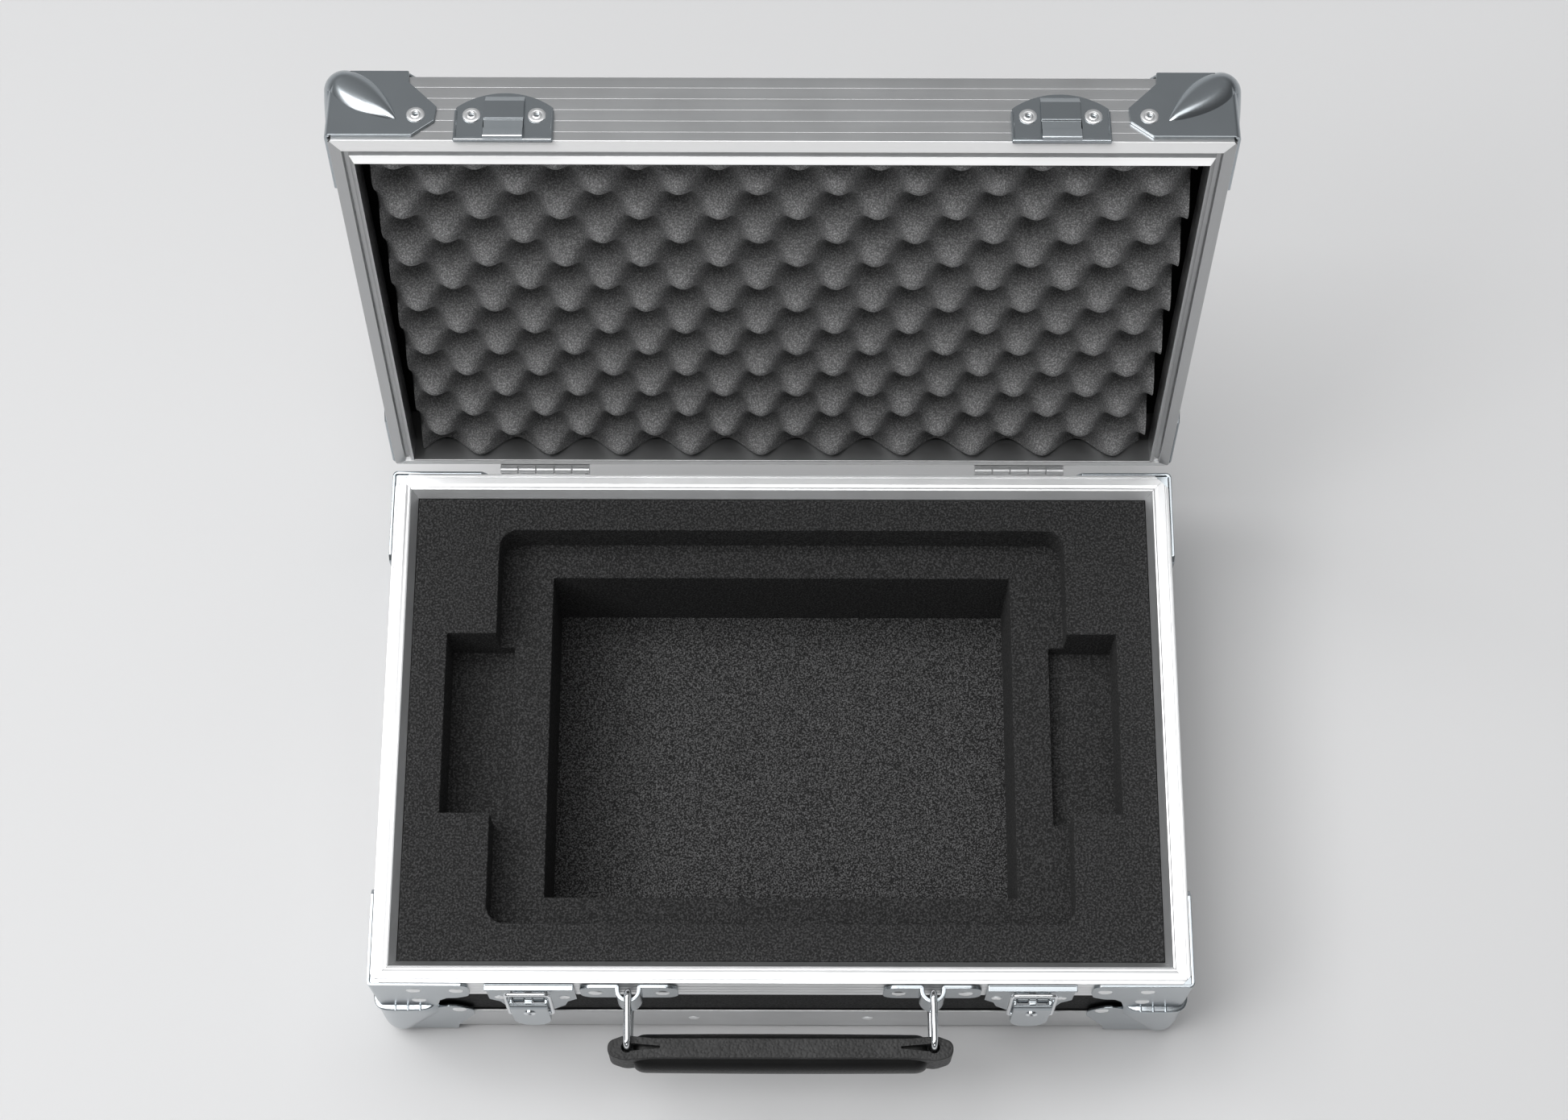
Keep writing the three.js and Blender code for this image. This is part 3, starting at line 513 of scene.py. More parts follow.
def foam(name, dark, light, cell, depth, tips=None):
    """Open-cell foam: a mottled grain of cells. `tips` is (direction, low, high): along the direction the
    colour is painted darker from high down to low, where it is a quarter as bright, painted shade in the
    hollows.
    """
    made, tree, shader = material(name, Roughness=1.0, Sheen_Weight=0.03, Sheen_Roughness=0.6)
    shader.inputs["Specular IOR Level"].default_value = 0.04
    vector = place_nodes(tree)
    grain = noise(tree, vector, 1 / cell)
    inputs = {"Vector": vector, "Scale": 0.8 / cell, "Randomness": 1.0}
    speck = node(tree, "ShaderNodeTexVoronoi", inputs).outputs["Distance"]
    inputs = {0: grain, 1: ranged(tree, speck, 0.35, 0.0, 0.0, 0.7)}
    height = node(tree, "ShaderNodeMath", inputs, operation="ADD").outputs[0]
    tint = ramp(tree, height, [(0.5, dark), (0.95, light)])
    # Painted shade: the foam's hollows are painted darker than its peaks, standing in for the shade that
    # falls in them.
    if tips:
        direction, low, high = tips
        share = ranged(tree, reach_along(tree, "Object", direction), 0.0, 1.0, low, high)
        painted_shade_hollow_colour = ramp(tree, height, [(0.5, shade(dark, 0.25)), (0.95, shade(light, 0.25))])
        tint = mixed_colour(tree, share, painted_shade_hollow_colour, tint)
    tree.links.new(tint, shader.inputs["Base Color"])
    bump = node(tree, "ShaderNodeBump", {"Strength": 1.0, "Distance": depth, "Height": height})
    tree.links.new(bump.outputs[0], shader.inputs["Normal"])
    return made


def moulded(name, colour, roughness, pebble, depth, gloss=0.25):
    """Black laminate or moulded rubber with a pebbled skin."""
    made, tree, shader = material(name, Roughness=roughness, Specular_IOR_Level=gloss)
    vector = place_nodes(tree)
    inputs = {"Vector": vector, "Scale": 1 / pebble}
    pebbles = node(tree, "ShaderNodeTexVoronoi", inputs, feature="SMOOTH_F1").outputs["Distance"]
    cloud = noise(tree, vector, 60.0, 3.0)
    tint = ramp(tree, cloud, [(0.3, shade(colour, 0.8)), (0.7, shade(colour, 1.2))])
    tree.links.new(tint, shader.inputs["Base Color"])
    rough = ranged(tree, pebbles, roughness * 0.8, roughness * 1.1, 0.0, 0.8)
    tree.links.new(rough, shader.inputs["Roughness"])
    bump = node(tree, "ShaderNodeBump", {"Strength": 0.8, "Distance": depth, "Height": pebbles})
    tree.links.new(bump.outputs[0], shader.inputs["Normal"])
    return made


# The convoluted lid foam
crate_pitch_x = 40.5
crate_pitch_y = 40.8
crate_phase_x = 8.3
crate_phase_t = 39.6
crate_depth = 18.0
crate_peak = lid_mouth - 2.5
crate_half_x = 207.0
crate_ends = (13.4, 286.6)

frame_colour = (0.88, 0.885, 0.89)
# The lower bars and the lid bars are the rim's aluminium painted darker: painted shade.
lower_painted_shade_colour = (0.62, 0.625, 0.63)
lid_painted_shade_colour = (0.64, 0.645, 0.65)
# The lid bars' meeting faces are painted apart from their walls: near white on the front and back bars, a
# painted highlight, and darker on the side bars, painted shade.
mouth_facing = tuple(lid_open.to_3x3() @ Vector((0, 0, -1)))
mouth_painted_highlight = (mouth_facing, (0.98, 0.98, 0.98), 0.1)
side_mouth_painted_shade = (mouth_facing, (0.47, 0.475, 0.48), 0.9)
# The lid foam's hollows are painted darker between these depths along the mouth's facing: painted shade.
crate_high = (lid_open @ Vector((0, 0, crate_peak))).dot(Vector(mouth_facing)) * MM
crate_low = crate_high - crate_depth * MM
crate_painted_hollow_shade = (mouth_facing, crate_low, crate_high)
# What a slot is made of, unless its pieces have looks of their own.
finishes = {
    "steel_plate": metal("steel_plate", (0.44, 0.475, 0.50), 0.22, variation=0.03),
    "bright_steel": metal("bright_steel", (0.74, 0.76, 0.78), 0.2, variation=0.03),
    "chrome_wire": metal("chrome_wire", (0.84, 0.86, 0.88), 0.1, variation=0.02),
    "black_laminate": moulded("black_laminate", (0.007, 0.007, 0.0073), 0.66, 0.0011, 0.00014, 0.12),
    "base_foam": foam("base_foam", (0.023, 0.023, 0.0232), (0.092, 0.092, 0.093), 0.0011, 0.0012),
    "coarse_foam": foam("coarse_foam", (0.021, 0.021, 0.0212), (0.19, 0.19, 0.192), 0.0009, 0.0012),
    "lid_foam": foam("lid_foam", (0.16, 0.16, 0.161), (0.47, 0.47, 0.472), 0.0008, 0.0006, crate_painted_hollow_shade),
    "rubber_grip": moulded("rubber_grip", (0.030, 0.030, 0.0302), 0.6, 0.0014, 0.0008, 0.35),
}
rivet_finish = metal("rivet", (0.90, 0.905, 0.91), 0.36, variation=0.03)
grip_body_finish = moulded("grip_body", (0.005, 0.005, 0.005), 0.45, 0.0012, 0.0001, 0.2)
# Each pair is the look of the bars along X, then of those along Y.
drawn_depth = 0.0000006
frame_looks = [metal(f"aluminium_frame_{i}", frame_colour, 0.42, i, 0.0, drawn_depth) for i in (0, 1)]
lower_painted_shade_looks = [metal(f"aluminium_lower_painted_shade_{i}", lower_painted_shade_colour, 0.38, i, 0.0, drawn_depth) for i in (0, 1)]
lid_painted_looks = [
    metal("aluminium_lid_painted_0", lid_painted_shade_colour, 0.34, 0, 0.0, drawn_depth, mouth=mouth_painted_highlight),
    metal("aluminium_lid_painted_1", lid_painted_shade_colour, 0.34, 1, open_angle, drawn_depth, mouth=side_mouth_painted_shade),
]

# ---- Frame bars ----
# Profiles are (in from the outer face, up, corner radius).
def face_with_grooves(start, end, grooves, groove_half=0.5, groove_depth=0.5):
    """The outer face of a bar, with V grooves at the given heights."""
    step = math.copysign(groove_half, end - start)
    points = [(0, start, 0.3)]
    for at in grooves:
        points += [(0, at - step, 0.1), (groove_depth, at, 0.05), (0, at + step, 0.1)]
    return points


rim_profile = [
    *face_with_grooves(-rim_height, 0, [-22, -15.5, -9]),
    (0, -0.2, 0.3), (1.3, -0.05, 0.2), (1.6, -0.6, 0.15), (2.0, -0.6, 0.15),
    (2.4, -0.05, 0.3), (6.2, 0.0, 0.5), (7.6, -0.35, 0.5), (8.3, -0.35, 0.3),
    (8.7, 0.0, 0.2), (9.6, -0.3, 0.3), (13.3, -5.6, 0.3), (13.3, -6.6, 0.2),
    (8.5, -7.8), (8.5, -rim_height + 2), (7, -rim_height + 2), (7, -12), (1.4, -12),
    (1.4, -rim_height),
]
lower_profile = [
    (0, under_z, 0.6), (0, lower_height - 2.6, 0.2), (0.5, lower_height - 2.2, 0.1),
    (0, lower_height - 1.8, 0.2), (0, lower_height, 0.5), (1.4, lower_height, 0.5),
    (1.4, -gap), (24, -gap), (24, under_z, 0.3),
]
lid_profile = [
    (0, 2.0, 0.4),
    *face_with_grooves(1.8, lid_height, [7.5, 14.5, 21.5, 28.5, 35.5], 0.14, 0.035)[1:],
    (0, lid_height, 1.5), (19, lid_height, 0.3), (19, lid_height - 1.3, 0.3),
    (1.6, lid_height - 1.3), (1.6, 5), (10.9, 5), (10.9, 12, 0.2), (12.6, 12, 0.2),
    (12.6, -3.0, 0.3), (12.2, -3.0, 0.2), (9.7, -0.1, 0.3), (9.3, 2.4, 0.15),
    (6.9, 2.4, 0.15), (6.5, 0.1, 0.25),
]


def split_at(points, value):
    """The outline with a point added wherever it crosses a distance in from the outer face."""
    result = []
    for here, after in zip(points, points[1:] + points[:1]):
        result.append(here)
        if (here.x - value) * (after.x - value) < 0:
            result.append(here.lerp(after, (value - here.x) / (after.x - here.x)))
    return result


def bar(profile, length, trims):
    """A mitred bar along X with its outer face at Y = 0, and its outer tips cut across the mitre."""
    mitre_gap = 0.08  # half of the fine line between two bars
    section = rounded(profile, steps=3)
    for trim in set(trims):
        section = split_at(section, trim / 2)
    triangles = tessellate_polygon([[point.to_3d() for point in section]])
    bm = bmesh.new()
    ends = []
    for side, trim in zip((-1, 1), trims):
        stations = [length / 2 - mitre_gap - max(point.x, trim - point.x) for point in section]
        ends.append([bm.verts.new((side * x, point.x, point.y)) for x, point in zip(stations, section)])
        for triangle in triangles:
            bm.faces.new([ends[-1][i] for i in triangle])
    for i in range(len(section)):
        bm.faces.new((ends[0][i - 1], ends[0][i], ends[1][i], ends[1][i - 1]))
    bmesh.ops.recalc_face_normals(bm, faces=bm.faces)
    return bm


bar_sides = {
    "front": (2 * half_x, half_y, 0, ("front", "front")),
    "right": (2 * half_y, half_x, 90, ("front", "back")),
    "back": (2 * half_x, half_y, 180, ("back", "back")),
    "left": (2 * half_y, half_x, -90, ("back", "front")),
}


def add_bars(name, profile, level, trim, body, finish, looks, place=None):
    """Four mitred bars round the case. `looks` has one for those along X and one for those along Y."""
    for side, (length, offset, turn, ends) in bar_sides.items():
        bm = bar(profile, length, [trim[end] for end in ends])
        about = Matrix.Rotation(math.radians(turn), 4, "Z") @ Matrix.Translation((0, -offset, level))
        moved(bm, about)
        look = looks[side in ("left", "right")]
        add(f"{name}_bar_{side}", bm, body, finish, [f"{name}_extrusion_{side}"], place, look=look)


# How far the outer tips of the bars are cut back at the front and back corners.
rim_trim = {"front": 5.0, "back": 8.0}
small_trim = {"front": 3.0, "back": 3.0}
lid_trim = {"front": 1.6, "back": 1.6}
add_bars("rim", rim_profile, rim_z, rim_trim, "base", "aluminium_frame", frame_looks)
# The lower bars and the lid bars take the darker looks, painted shade.
add_bars("lower", lower_profile, 0, small_trim, "base", "aluminium_frame", lower_painted_shade_looks)
add_bars("lid", lid_profile, lid_mouth, lid_trim, "lid", "aluminium_lid", lid_painted_looks, lid_open)

for name in ("panel_front", "panel_back", "panel_left", "panel_right", "panel_bottom", "lid_panel"):
    nodes[name].data.materials.clear()
    nodes[name].data.materials.append(finishes["black_laminate"])

# ---- Fasteners ----
# Profiles are (radius, height above the plate).
flanged_rivet = [
    (0, -0.6), (1.0, -0.6), (1.25, -0.3), (1.35, 0.75), (1.7, 1.0), (2.1, 0.95),
    (2.5, 0.7), (2.9, 0.8), (3.8, 0.78), (4.35, 0.6), (4.65, 0.2), (4.65, -0.2),
    (0, -0.8),
]
flat_rivet = [
    (0, 0.62), (1.3, 0.62), (1.7, 0.42), (2.1, 0.6), (3.0, 0.58), (3.7, 0.36),
    (4.0, 0.0), (4.0, -0.3), (0, -0.3),
]
small_rivet = [
    (0, 0.2), (0.7, 0.25), (0.9, 0.7), (1.5, 0.8), (2.6, 0.55), (3.2, 0.1), (3.2, -0.4),
    (0, -0.4),
]


def add_studs(name, profile, places, body, place=None):
    """Rivet or screw heads as one piece. Each place is (point, the way its head faces)."""
    heads = merged([lathe(profile, 32, facing(point, direction)) for point, direction in places])
    add(name, heads, body, "bright_steel", place=place, look=rivet_finish)


def wall_pair(x, spread, y, z):
    """Places for two studs on a front wall, one each side of x."""
    return [((x + side * spread, y, z), (0, -1, 0)) for side in (-1, 1)]


def corner_studs(name, profile, spots, body, place):
    """Studs on both walls of a corner. A spot is (in from the corner edge, height)."""
    places = []
    for inward, z in spots:
        places.append(((half_x - inward, -half_y - proud, z), (0, -1, 0)))
        places.append(((half_x + proud, -half_y + inward, z), (1, 0, 0)))
    add_studs(name, profile, places, body, place)


# ---- Corner pieces ----
bend_radius = 3.0
bend_steps = 10


def corner_path():
    """The outer surface round the front right corner, from the side wall to the front wall."""
    reach = 70.0
    x = half_x + proud
    y = -half_y - proud
    bend = arc((x - bend_radius, y + bend_radius), bend_radius, 0, -90, bend_steps)
    return [Vector((x, y + reach)), *bend, Vector((x - reach, y))]


# On the bent plate, a point this far round the corner from the middle of its bend is a millimetre
# count in from the corner edge.
bend_shift = bend_radius * math.pi / 4 - bend_radius + proud


def folded_plate(outline):
    """A plate folded round the corner. The outline is its front half: (in from the edge, height)."""
    half = [(inward + bend_shift, *rest) for inward, *rest in outline]
    sheet = -plate - gap + 0.04
    points = rounded(mirrored_outline(half))
    return wrapped(points, sheet, corner_path(), lambda at, up: (at.x, at.y, up), 0.4)


def floor_leaf(outline, low, high):
    """A corner piece's leaf on the top or bottom. The outline is (in from one side, in from the other)."""
    edge = gap + plate * 0.5
    points = [(half_x + edge - x, -half_y - edge + y, *r) for x, y, *r in outline]
    return slab(rounded(points), low, high)


def case_volume(low, high):
    """The case's own volume near the front right corner, which the corner pieces are hollowed by."""
    reach = 140.0
    return block(half_x - reach, half_x + gap, -half_y - gap, -half_y + reach, low, high)


brace_outline = [
    (-bend_shift, 0), (50, -0.2, 1.0), (53.3, -3.5, 3.0), (53.3, -18, 4.0),
    (51.5, -27, 5.0), (45, -31.8, 4.0), (39.2, -32.2, 2.5), (34.6, -38.8, 3.0),
    (32.1, -51.4, 1.0), (-bend_shift, -51.6),
]
brace_rivets = [(22.8, -11.6), (46.2, -12.3), (23, -37.1)]
mitre_key = [(-0.2, 0.2), (-0.2, 11), (-11, 0.2)]


def brace():
    """A plate folded round the corner, and the flat key that closes the rim's mitre from below."""
    folded = folded_plate([(x, rim_z + z, *rest) for x, z, *rest in brace_outline])
    key = slab([(x + half_x, y - half_y) for x, y in mitre_key], rim_z - 2.6, rim_z - 1.4, 0)
    return merged([folded, key])


def teardrop(base, tip, radius, normal):
    """A smooth drop: a ball at the base, drawn out to a blunt tip, and wider than it is tall."""
    steps = 36
    along = Vector(tip) - Vector(base)
    length = along.length
    along.normalize()
    across = along.cross(Vector(normal)).normalized()
    turn = Matrix((across, along.cross(across), along)).transposed()
    profile = [(0, -radius)]
    for k in range(1, 13):
        angle = math.pi / 2 * k / 12
        profile.append((radius * math.sin(angle), -radius * math.cos(angle)))
    for k in range(1, steps + 1):
        share = k / steps
        width = radius * (1 - share ** 1.9) ** 0.8
        profile.append((width if k < steps else 0, length * share))
    drop = lathe(profile, 64)
    for vert in drop.verts:
        share = min(max(vert.co.z / length, 0), 1)
        vert.co.x *= 1 + 0.3 * math.sin(math.pi * share ** 0.6)
        vert.co.y *= 1 - 0.12 * math.sin(math.pi * share)
    return moved(drop, Matrix.Translation(base) @ turn.to_4x4())


lid_leaf = [
    (-bend_shift, lid_mouth + 4.2), (41.5, lid_mouth + 4.2, 1.0),
    (52.5, lid_mouth + 13.5, 1.2), (53.2, lid_mouth + 22, 1.5),
    (38.5, lid_mouth + 37.5, 1.5), (38, lid_top + proud, 0.8),
    (8.5, lid_top + proud, 1.0), (-bend_shift, lid_top - 8.5),
]
lid_floor_leaf = [(10.5, 0, 1.0), (38, 0, 0.8), (50, 12, 1.5), (12, 50, 1.5), (0, 38, 0.8), (0, 10.5, 1.0)]


def lid_corner():
    """Three leaves, and a ball drawn out along each of them."""
    inset = 5.6
    radius = 10.45
    centre = Vector((half_x - inset, -half_y + inset, lid_top - inset))
    tips = [
        ((half_x - 34, -half_y - 1.2, lid_top - 29.5), (0, -1, 0)),
        ((half_x + 1.2, -half_y + 34, lid_top - 29.5), (1, 0, 0)),
        ((half_x - 30, -half_y + 30, lid_top + 1.2), (0, 0, 1)),
    ]
    drops = [teardrop(centre, tip, radius, normal) for tip, normal in tips]
    inside = case_volume(lid_top - 140, lid_top + gap)
    shell = combined(combined(drops[0], "UNION", drops[1:]), "DIFFERENCE", [inside])
    top_leaf = floor_leaf(lid_floor_leaf, lid_top + gap, lid_top + proud)
    return merged([shell, folded_plate(lid_leaf), top_leaf])


base_leaf = [
    (-bend_shift, under_z + 8.5), (8.5, under_z - proud, 1.0),
    (37, under_z - proud, 0.8), (38.4, rim_z - 106.6, 3.0), (50.3, rim_z - 77, 4.0),
    (50.9, rim_z - 66, 5.0), (43, rim_z - 56, 4.0), (37.4, rim_z - 54.3, 2.5),
    (29.9, rim_z - 59.3, 2.0), (26, rim_z - 52.6, 1.0), (-bend_shift, rim_z - 52.6),
]
base_floor_leaf = [(10.5, 0, 1.0), (37, 0, 0.8), (37, 18, 3), (18, 37, 3), (0, 37, 0.8), (0, 10.5, 1.0)]
ledge_z = rim_z - 52.2


def base_bulge():
    """The pressed swelling over the lower corner: rounded-square sections from the ledge to the ball."""
    # Each level is (height, how far it stands proud, how far its flat runs in from the edge, squareness).
    levels = [
        (ledge_z + 0.2, 1.6, 12.6, 4.6), (ledge_z - 0.1, 3.0, 12.8, 4.6),
        (ledge_z - 0.45, 4.5, 13.1, 4.6), (ledge_z - 1.3, 4.9, 13.5, 4.6),
        (ledge_z - 5, 4.95, 14.4, 4.4), (ledge_z - 12, 5.0, 14.8, 4.0),
        (ledge_z - 20, 4.95, 13.6, 3.6), (ledge_z - 30, 4.9, 11.2, 3.2),
        (ledge_z - 40, 4.8, 8.6, 2.8), (ledge_z - 50, 4.6, 6.4, 2.4),
        (ledge_z - 57, 3.9, 5.8, 2.1), (ledge_z - 62, 2.0, 5.6, 2.0),
        (ledge_z - 65.6, -1.8, 5.6, 2.0), (ledge_z - 67.4, -5.0, 5.6, 2.0),
    ]
    rings = []
    for z, out, run, square in smoothed(levels, 4):
        size = run + out
        centre = Vector((half_x - run, -half_y + run))
        rings.append([(centre.x + size * c, centre.y + size * s, z) for c, s in squared_circle(72, square)])
    bulge = closed_rings(rings)
    ribs = []
    low, high = ledge_z - 2.6, ledge_z + 0.3
    for inward in (8.0, 15.0, 22.0):
        x, y = half_x - inward, -half_y + inward
        ribs.append(block(x - 0.6, x + 0.6, -half_y - 4.7, -half_y + 4, low, high, 0.35))
        ribs.append(block(half_x - 4, half_x + 4.7, y - 0.6, y + 0.6, low, high, 0.35))
    solids = (bulge, merged(ribs))
    return merged([combined(solid, "DIFFERENCE", [case_volume(under_z - gap, rim_z)]) for solid in solids])


def smoothed(rows, steps):
    """Rows of numbers with smooth rows put between them."""
    result = []
    for i in range(len(rows) - 1):
        before = rows[max(i - 1, 0)]
        after = rows[min(i + 2, len(rows) - 1)]
        for k in range(steps):
            t = k / steps
            row = []
            for p0, p1, p2, p3 in zip(before, rows[i], rows[i + 1], after):
                slope = (p2 - p0) / 2
                next_slope = (p3 - p1) / 2
                curve = 2 * p1 - 2 * p2 + slope + next_slope
                bend = 3 * p2 - 3 * p1 - 2 * slope - next_slope
                row.append(((curve * t + bend) * t + slope) * t + p1)
            result.append(tuple(row))
    result.append(tuple(rows[-1]))
    return result


def base_corner():
    under_leaf = floor_leaf(base_floor_leaf, under_z - proud, under_z - gap)
    return merged([base_bulge(), folded_plate(base_leaf), under_leaf])


for corner, (side_x, side_y) in corner_names.items():
    flip = Matrix.Diagonal((side_x, side_y, 1, 1))
    add(f"brace_{corner}", brace(), "base", "steel_plate", [f"corner_brace_{corner}"], flip)
    spots = [(inward, rim_z + z) for inward, z in brace_rivets]
    corner_studs(f"brace_rivets_{corner}", flat_rivet, spots, "base", flip)
    add(f"ball_corner_{corner}", base_corner(), "base", "steel_plate", [f"base_ball_corner_{corner}"], flip)
    corner_studs(f"ball_corner_rivets_{corner}", flat_rivet, [(43, rim_z - 62.5)], "base", flip)
    lid_flip = lid_open @ flip
    add(f"lid_corner_{corner}", lid_corner(), "lid", "steel_plate", [f"lid_ball_corner_{corner}"], lid_flip)
    corner_studs(f"lid_corner_rivets_{corner}", flanged_rivet, [(43, lid_mouth + 16.6)], "lid", lid_flip)

# ---- Handle ----
strap_z = rim_z - 13.5
strap_sheet = 2.2


def strap(x):
    """A strip with two wings on the wall and a round tunnel between them."""
    wing = -half_y - gap
    fillet = 1.6
    tunnel = 4.9
    centre_y = wing - 2.9
    inner = [
        Vector((-27.0, wing)),
        *arc((-tunnel - fillet, wing - fillet), fillet, 90, 0, 4),
        *arc((0, centre_y), tunnel, 180, 360, 16),
        *arc((tunnel + fillet, wing - fillet), fillet, 180, 90, 4),
        Vector((27.0, wing)),
    ]
    path = inner[::-1]
    half = path_length(path) / 2
    rise = 12.5
    outline = rounded([(half, -rise), (half, rise), (-half, rise), (-half, -rise)], 7.0, 6)
    return wrapped(outline, strap_sheet, path, lambda at, up: (x + at.x, at.y, strap_z + up), 0.45)


def ring_path(x, pivot):
    """The middle of a ring's wire, in the plane across the case."""
    far = grip_pivot.y
    outline = rounded(
        [(pivot.y, rim_z + 2.5), (pivot.y, rim_z - 29.5), (far, rim_z - 29.5), (far, rim_z + 2.5)], 3.4, 8
    )
    return [Vector((x, point.x, point.y)) for point in outline]


grip_top = rim_z
grip_centre = grip_pivot.y


def grip_strap():
    """The flat strap through the grip, waisted in the middle, with an eye and a slit at each end."""
    right = [
        (0, -5.6), (70, -5.9, 40), (85, -7.4, 12), (94.0, -4.4, 4.6), (94.0, 3.2, 4.6),
        (85, 6.5, 10), (70, 5.1, 30), (0, 4.8),
    ]
    points = [(p.x, p.y + grip_centre) for p in rounded(mirrored_outline(right), steps=6)]
    body = slab(points, grip_top - 25, grip_top, 0.8, 3)
    cutters = []
    for side in (-1, 1):
        x = side * ring_pivots["right"].x
        slit = [(0, -2.3), (0, 2.3), (18, 0.7), (18, -0.5)]
        slit_points = [(x - side * inward, grip_centre + y) for inward, y in slit]
        cutters.append(slab(arc((x, grip_centre), 3.1, 0, 352.5, 47), grip_top - 40, grip_top + 10, 0))
        cutters.append(slab(slit_points, grip_top - 18, grip_top + 10, 0))
    return soften(combined(body, "DIFFERENCE", cutters), 0.25, 2, 40)


def grip_body():
    """The moulded body round the middle of the strap: a squarish oval bar with rounded ends."""
    rings = []
    stations = 60
    half_length = 80.0
    half_width = 10.1
    half_height = 11.4
    middle_y = grip_centre - 0.9
    middle_z = grip_top - 14.6
    for i in range(stations + 1):
        t = -1 + 2 * i / stations
        x = half_length * math.sin(t * math.pi / 2)
        end = max(0.0, (abs(x) - half_length + 7) / 7)
        shrink = math.sqrt(max(0.0, 1 - end * end)) * 0.35 + 0.65
        swell = 1 + 0.04 * math.cos(x / half_length * math.pi / 2)
        wide = half_width * swell * shrink
        tall = half_height * shrink
        rings.append([(x, middle_y + wide * c, middle_z + tall * s) for c, s in squared_circle(48, 2.6)])
    return closed_rings(rings)


for name, pivot in ring_pivots.items():
    x = pivot.x
    add(f"strap_{name}", strap(x), "base", "steel_plate", [f"handle_strap_{name}"])
    screws = wall_pair(x, 18.5, -half_y - gap - strap_sheet, strap_z)
    add_studs(f"strap_screws_{name}", flat_rivet, screws, "base")
    wire = tube(ring_path(x, pivot), 2.0, closed=True, sides=20)
    add(f"ring_{name}", wire, f"ring_{name}", "chrome_wire", [f"handle_ring_{name}"], sharp=80)
add("grip_strap", grip_strap(), "grip", "rubber_grip", ["handle_grip"])
add("grip_body", grip_body(), "grip", "rubber_grip", sharp=50, look=grip_body_finish)

# ---- Draw catches ----
lever_half = 10.25
lever_front = -half_y - 13.3
knuckle = 2.9
wire_radius = 1.2
flange_reach = 4.3
lug_top = 2.3
shoulder_top = 1.9
tongue = 15.0
lever_sheet = 1.3


def catch_plate(pin):
    """The back plate with its flange over the rim, and two knuckles on lugs for the lever's pin."""
    x, y, z = pin
    right = [
        (24.5, 0, 0.6),
        (24.5, -34, 2.0),
        (19, -41, 3.0),
        (17, -51, 4.0),
        (9, -63.5, 3.0),
    ]
    points = [(x + p.x, rim_z + p.y) for p in rounded(mirrored_outline(right))]
    back = on_front(slab(points, 0, plate, 0.4))
    front, wall = -half_y - flange_reach, -half_y - gap - 0.2
    flange = block(x - 24.5, x + 24.5, front, wall, rim_z - 1.4, rim_z, 0.45, 3)
    pieces = [back, flange]
    for low, high in ((-8.6, -2.3), (2.3, 8.6)):
        pieces.append(roller((x + low, y, z), knuckle, high - low, 0.4))
        pieces.append(block(x + low, x + high, y, -half_y - 1.2, z - 1.4, z + lug_top, 0.3))
    return merged(pieces)


def lever(pin):
    """A pressed lever: three knuckle tabs, a rounded shoulder, a round-ended face and two side walls."""
    x, y, z = pin
    shoulder = 3.6
    top = z + shoulder_top
    leaving = 180 - math.degrees(math.asin(shoulder_top / knuckle))
    path = [
        *arc((y, z), knuckle, -60, leaving, 14),
        Vector((lever_front + shoulder, top)),
        *arc((lever_front + shoulder, top - shoulder), shoulder, 90, 180, 10)[1:],
        Vector((lever_front, z - 45)),
    ]
    path.reverse()
    half = path_length(path) / 2
    slot_end = half - path_length(path[-16:]) - 1.0
    start = -half
    turns = [math.radians(90 + 180 * k / 24) for k in range(25)]
    outline = [Vector((start + tongue * (1 + math.cos(a)), lever_half * math.sin(a))) for a in turns]
    slot_low, slot_high = 1.95, 8.95
    tabs = [
        (half, -lever_half),
        (half, -slot_high),
        (slot_end, -slot_high),
        (slot_end, -slot_low),
        (half, -slot_low),
    ]
    tabs += [(along, -across) for along, across in reversed(tabs)]
    outline += [Vector(point) for point in tabs]
    pieces = [wrapped(outline, -lever_sheet, path, lambda at, across: (x + across, at.x, at.y), 0.3)]
    wall_outline = [
        (lever_front + 0.4, z + 0.8, 1.2),
        (y - 1.0, z + 0.8, 2.0),
        (y + 1.6, z - 3.0, 1.5),
        (y + 1.0, z - 24, 5.0),
        (lever_front + 4, z - 33, 3.0),
        (lever_front + 0.4, z - 33, 0.8),
    ]
    for side in (-1, 1):
        inner = x + side * (lever_half - 1.25)
        wall = slab(rounded(wall_outline), 0, lever_sheet)
        pieces.append(reshaped(wall, lambda p: (inner + side * p.z, p.x, p.y)))
    return merged(pieces)


def bail(pin, pivot):
    """The wire loop: out of the lever's walls, up, and over the keeper's hook."""
    leg = 11.9
    bend = 3.2
    top = Vector((0, -half_y - 8.6, rim_z + 10.1))
    low = Vector((0, pivot.y, pivot.z))
    corners = [
        low + Vector((-lever_half + 1.9, 0, 0)),
        low + Vector((-leg, 0, 0)),
        top + Vector((-leg, 0, 0)),
        top + Vector((leg, 0, 0)),
        low + Vector((leg, 0, 0)),
        low + Vector((lever_half - 1.9, 0, 0)),
    ]
    radii = [0, 1.3, bend, bend, 1.3, 0]
    points = []
    for i, (corner, radius) in enumerate(zip(corners, radii)):
        if not radius:
            points.append(corner)
            continue
        start = corner + (corners[i - 1] - corner).normalized() * radius
        end = corner + (corners[i + 1] - corner).normalized() * radius
        for k in range(9):
            t = k / 8
            points.append(start * (1 - t) ** 2 + corner * 2 * t * (1 - t) + end * t ** 2)
    shift = Vector((pin.x, 0, 0))
    return tube([point + shift for point in points], wire_radius, sides=16)


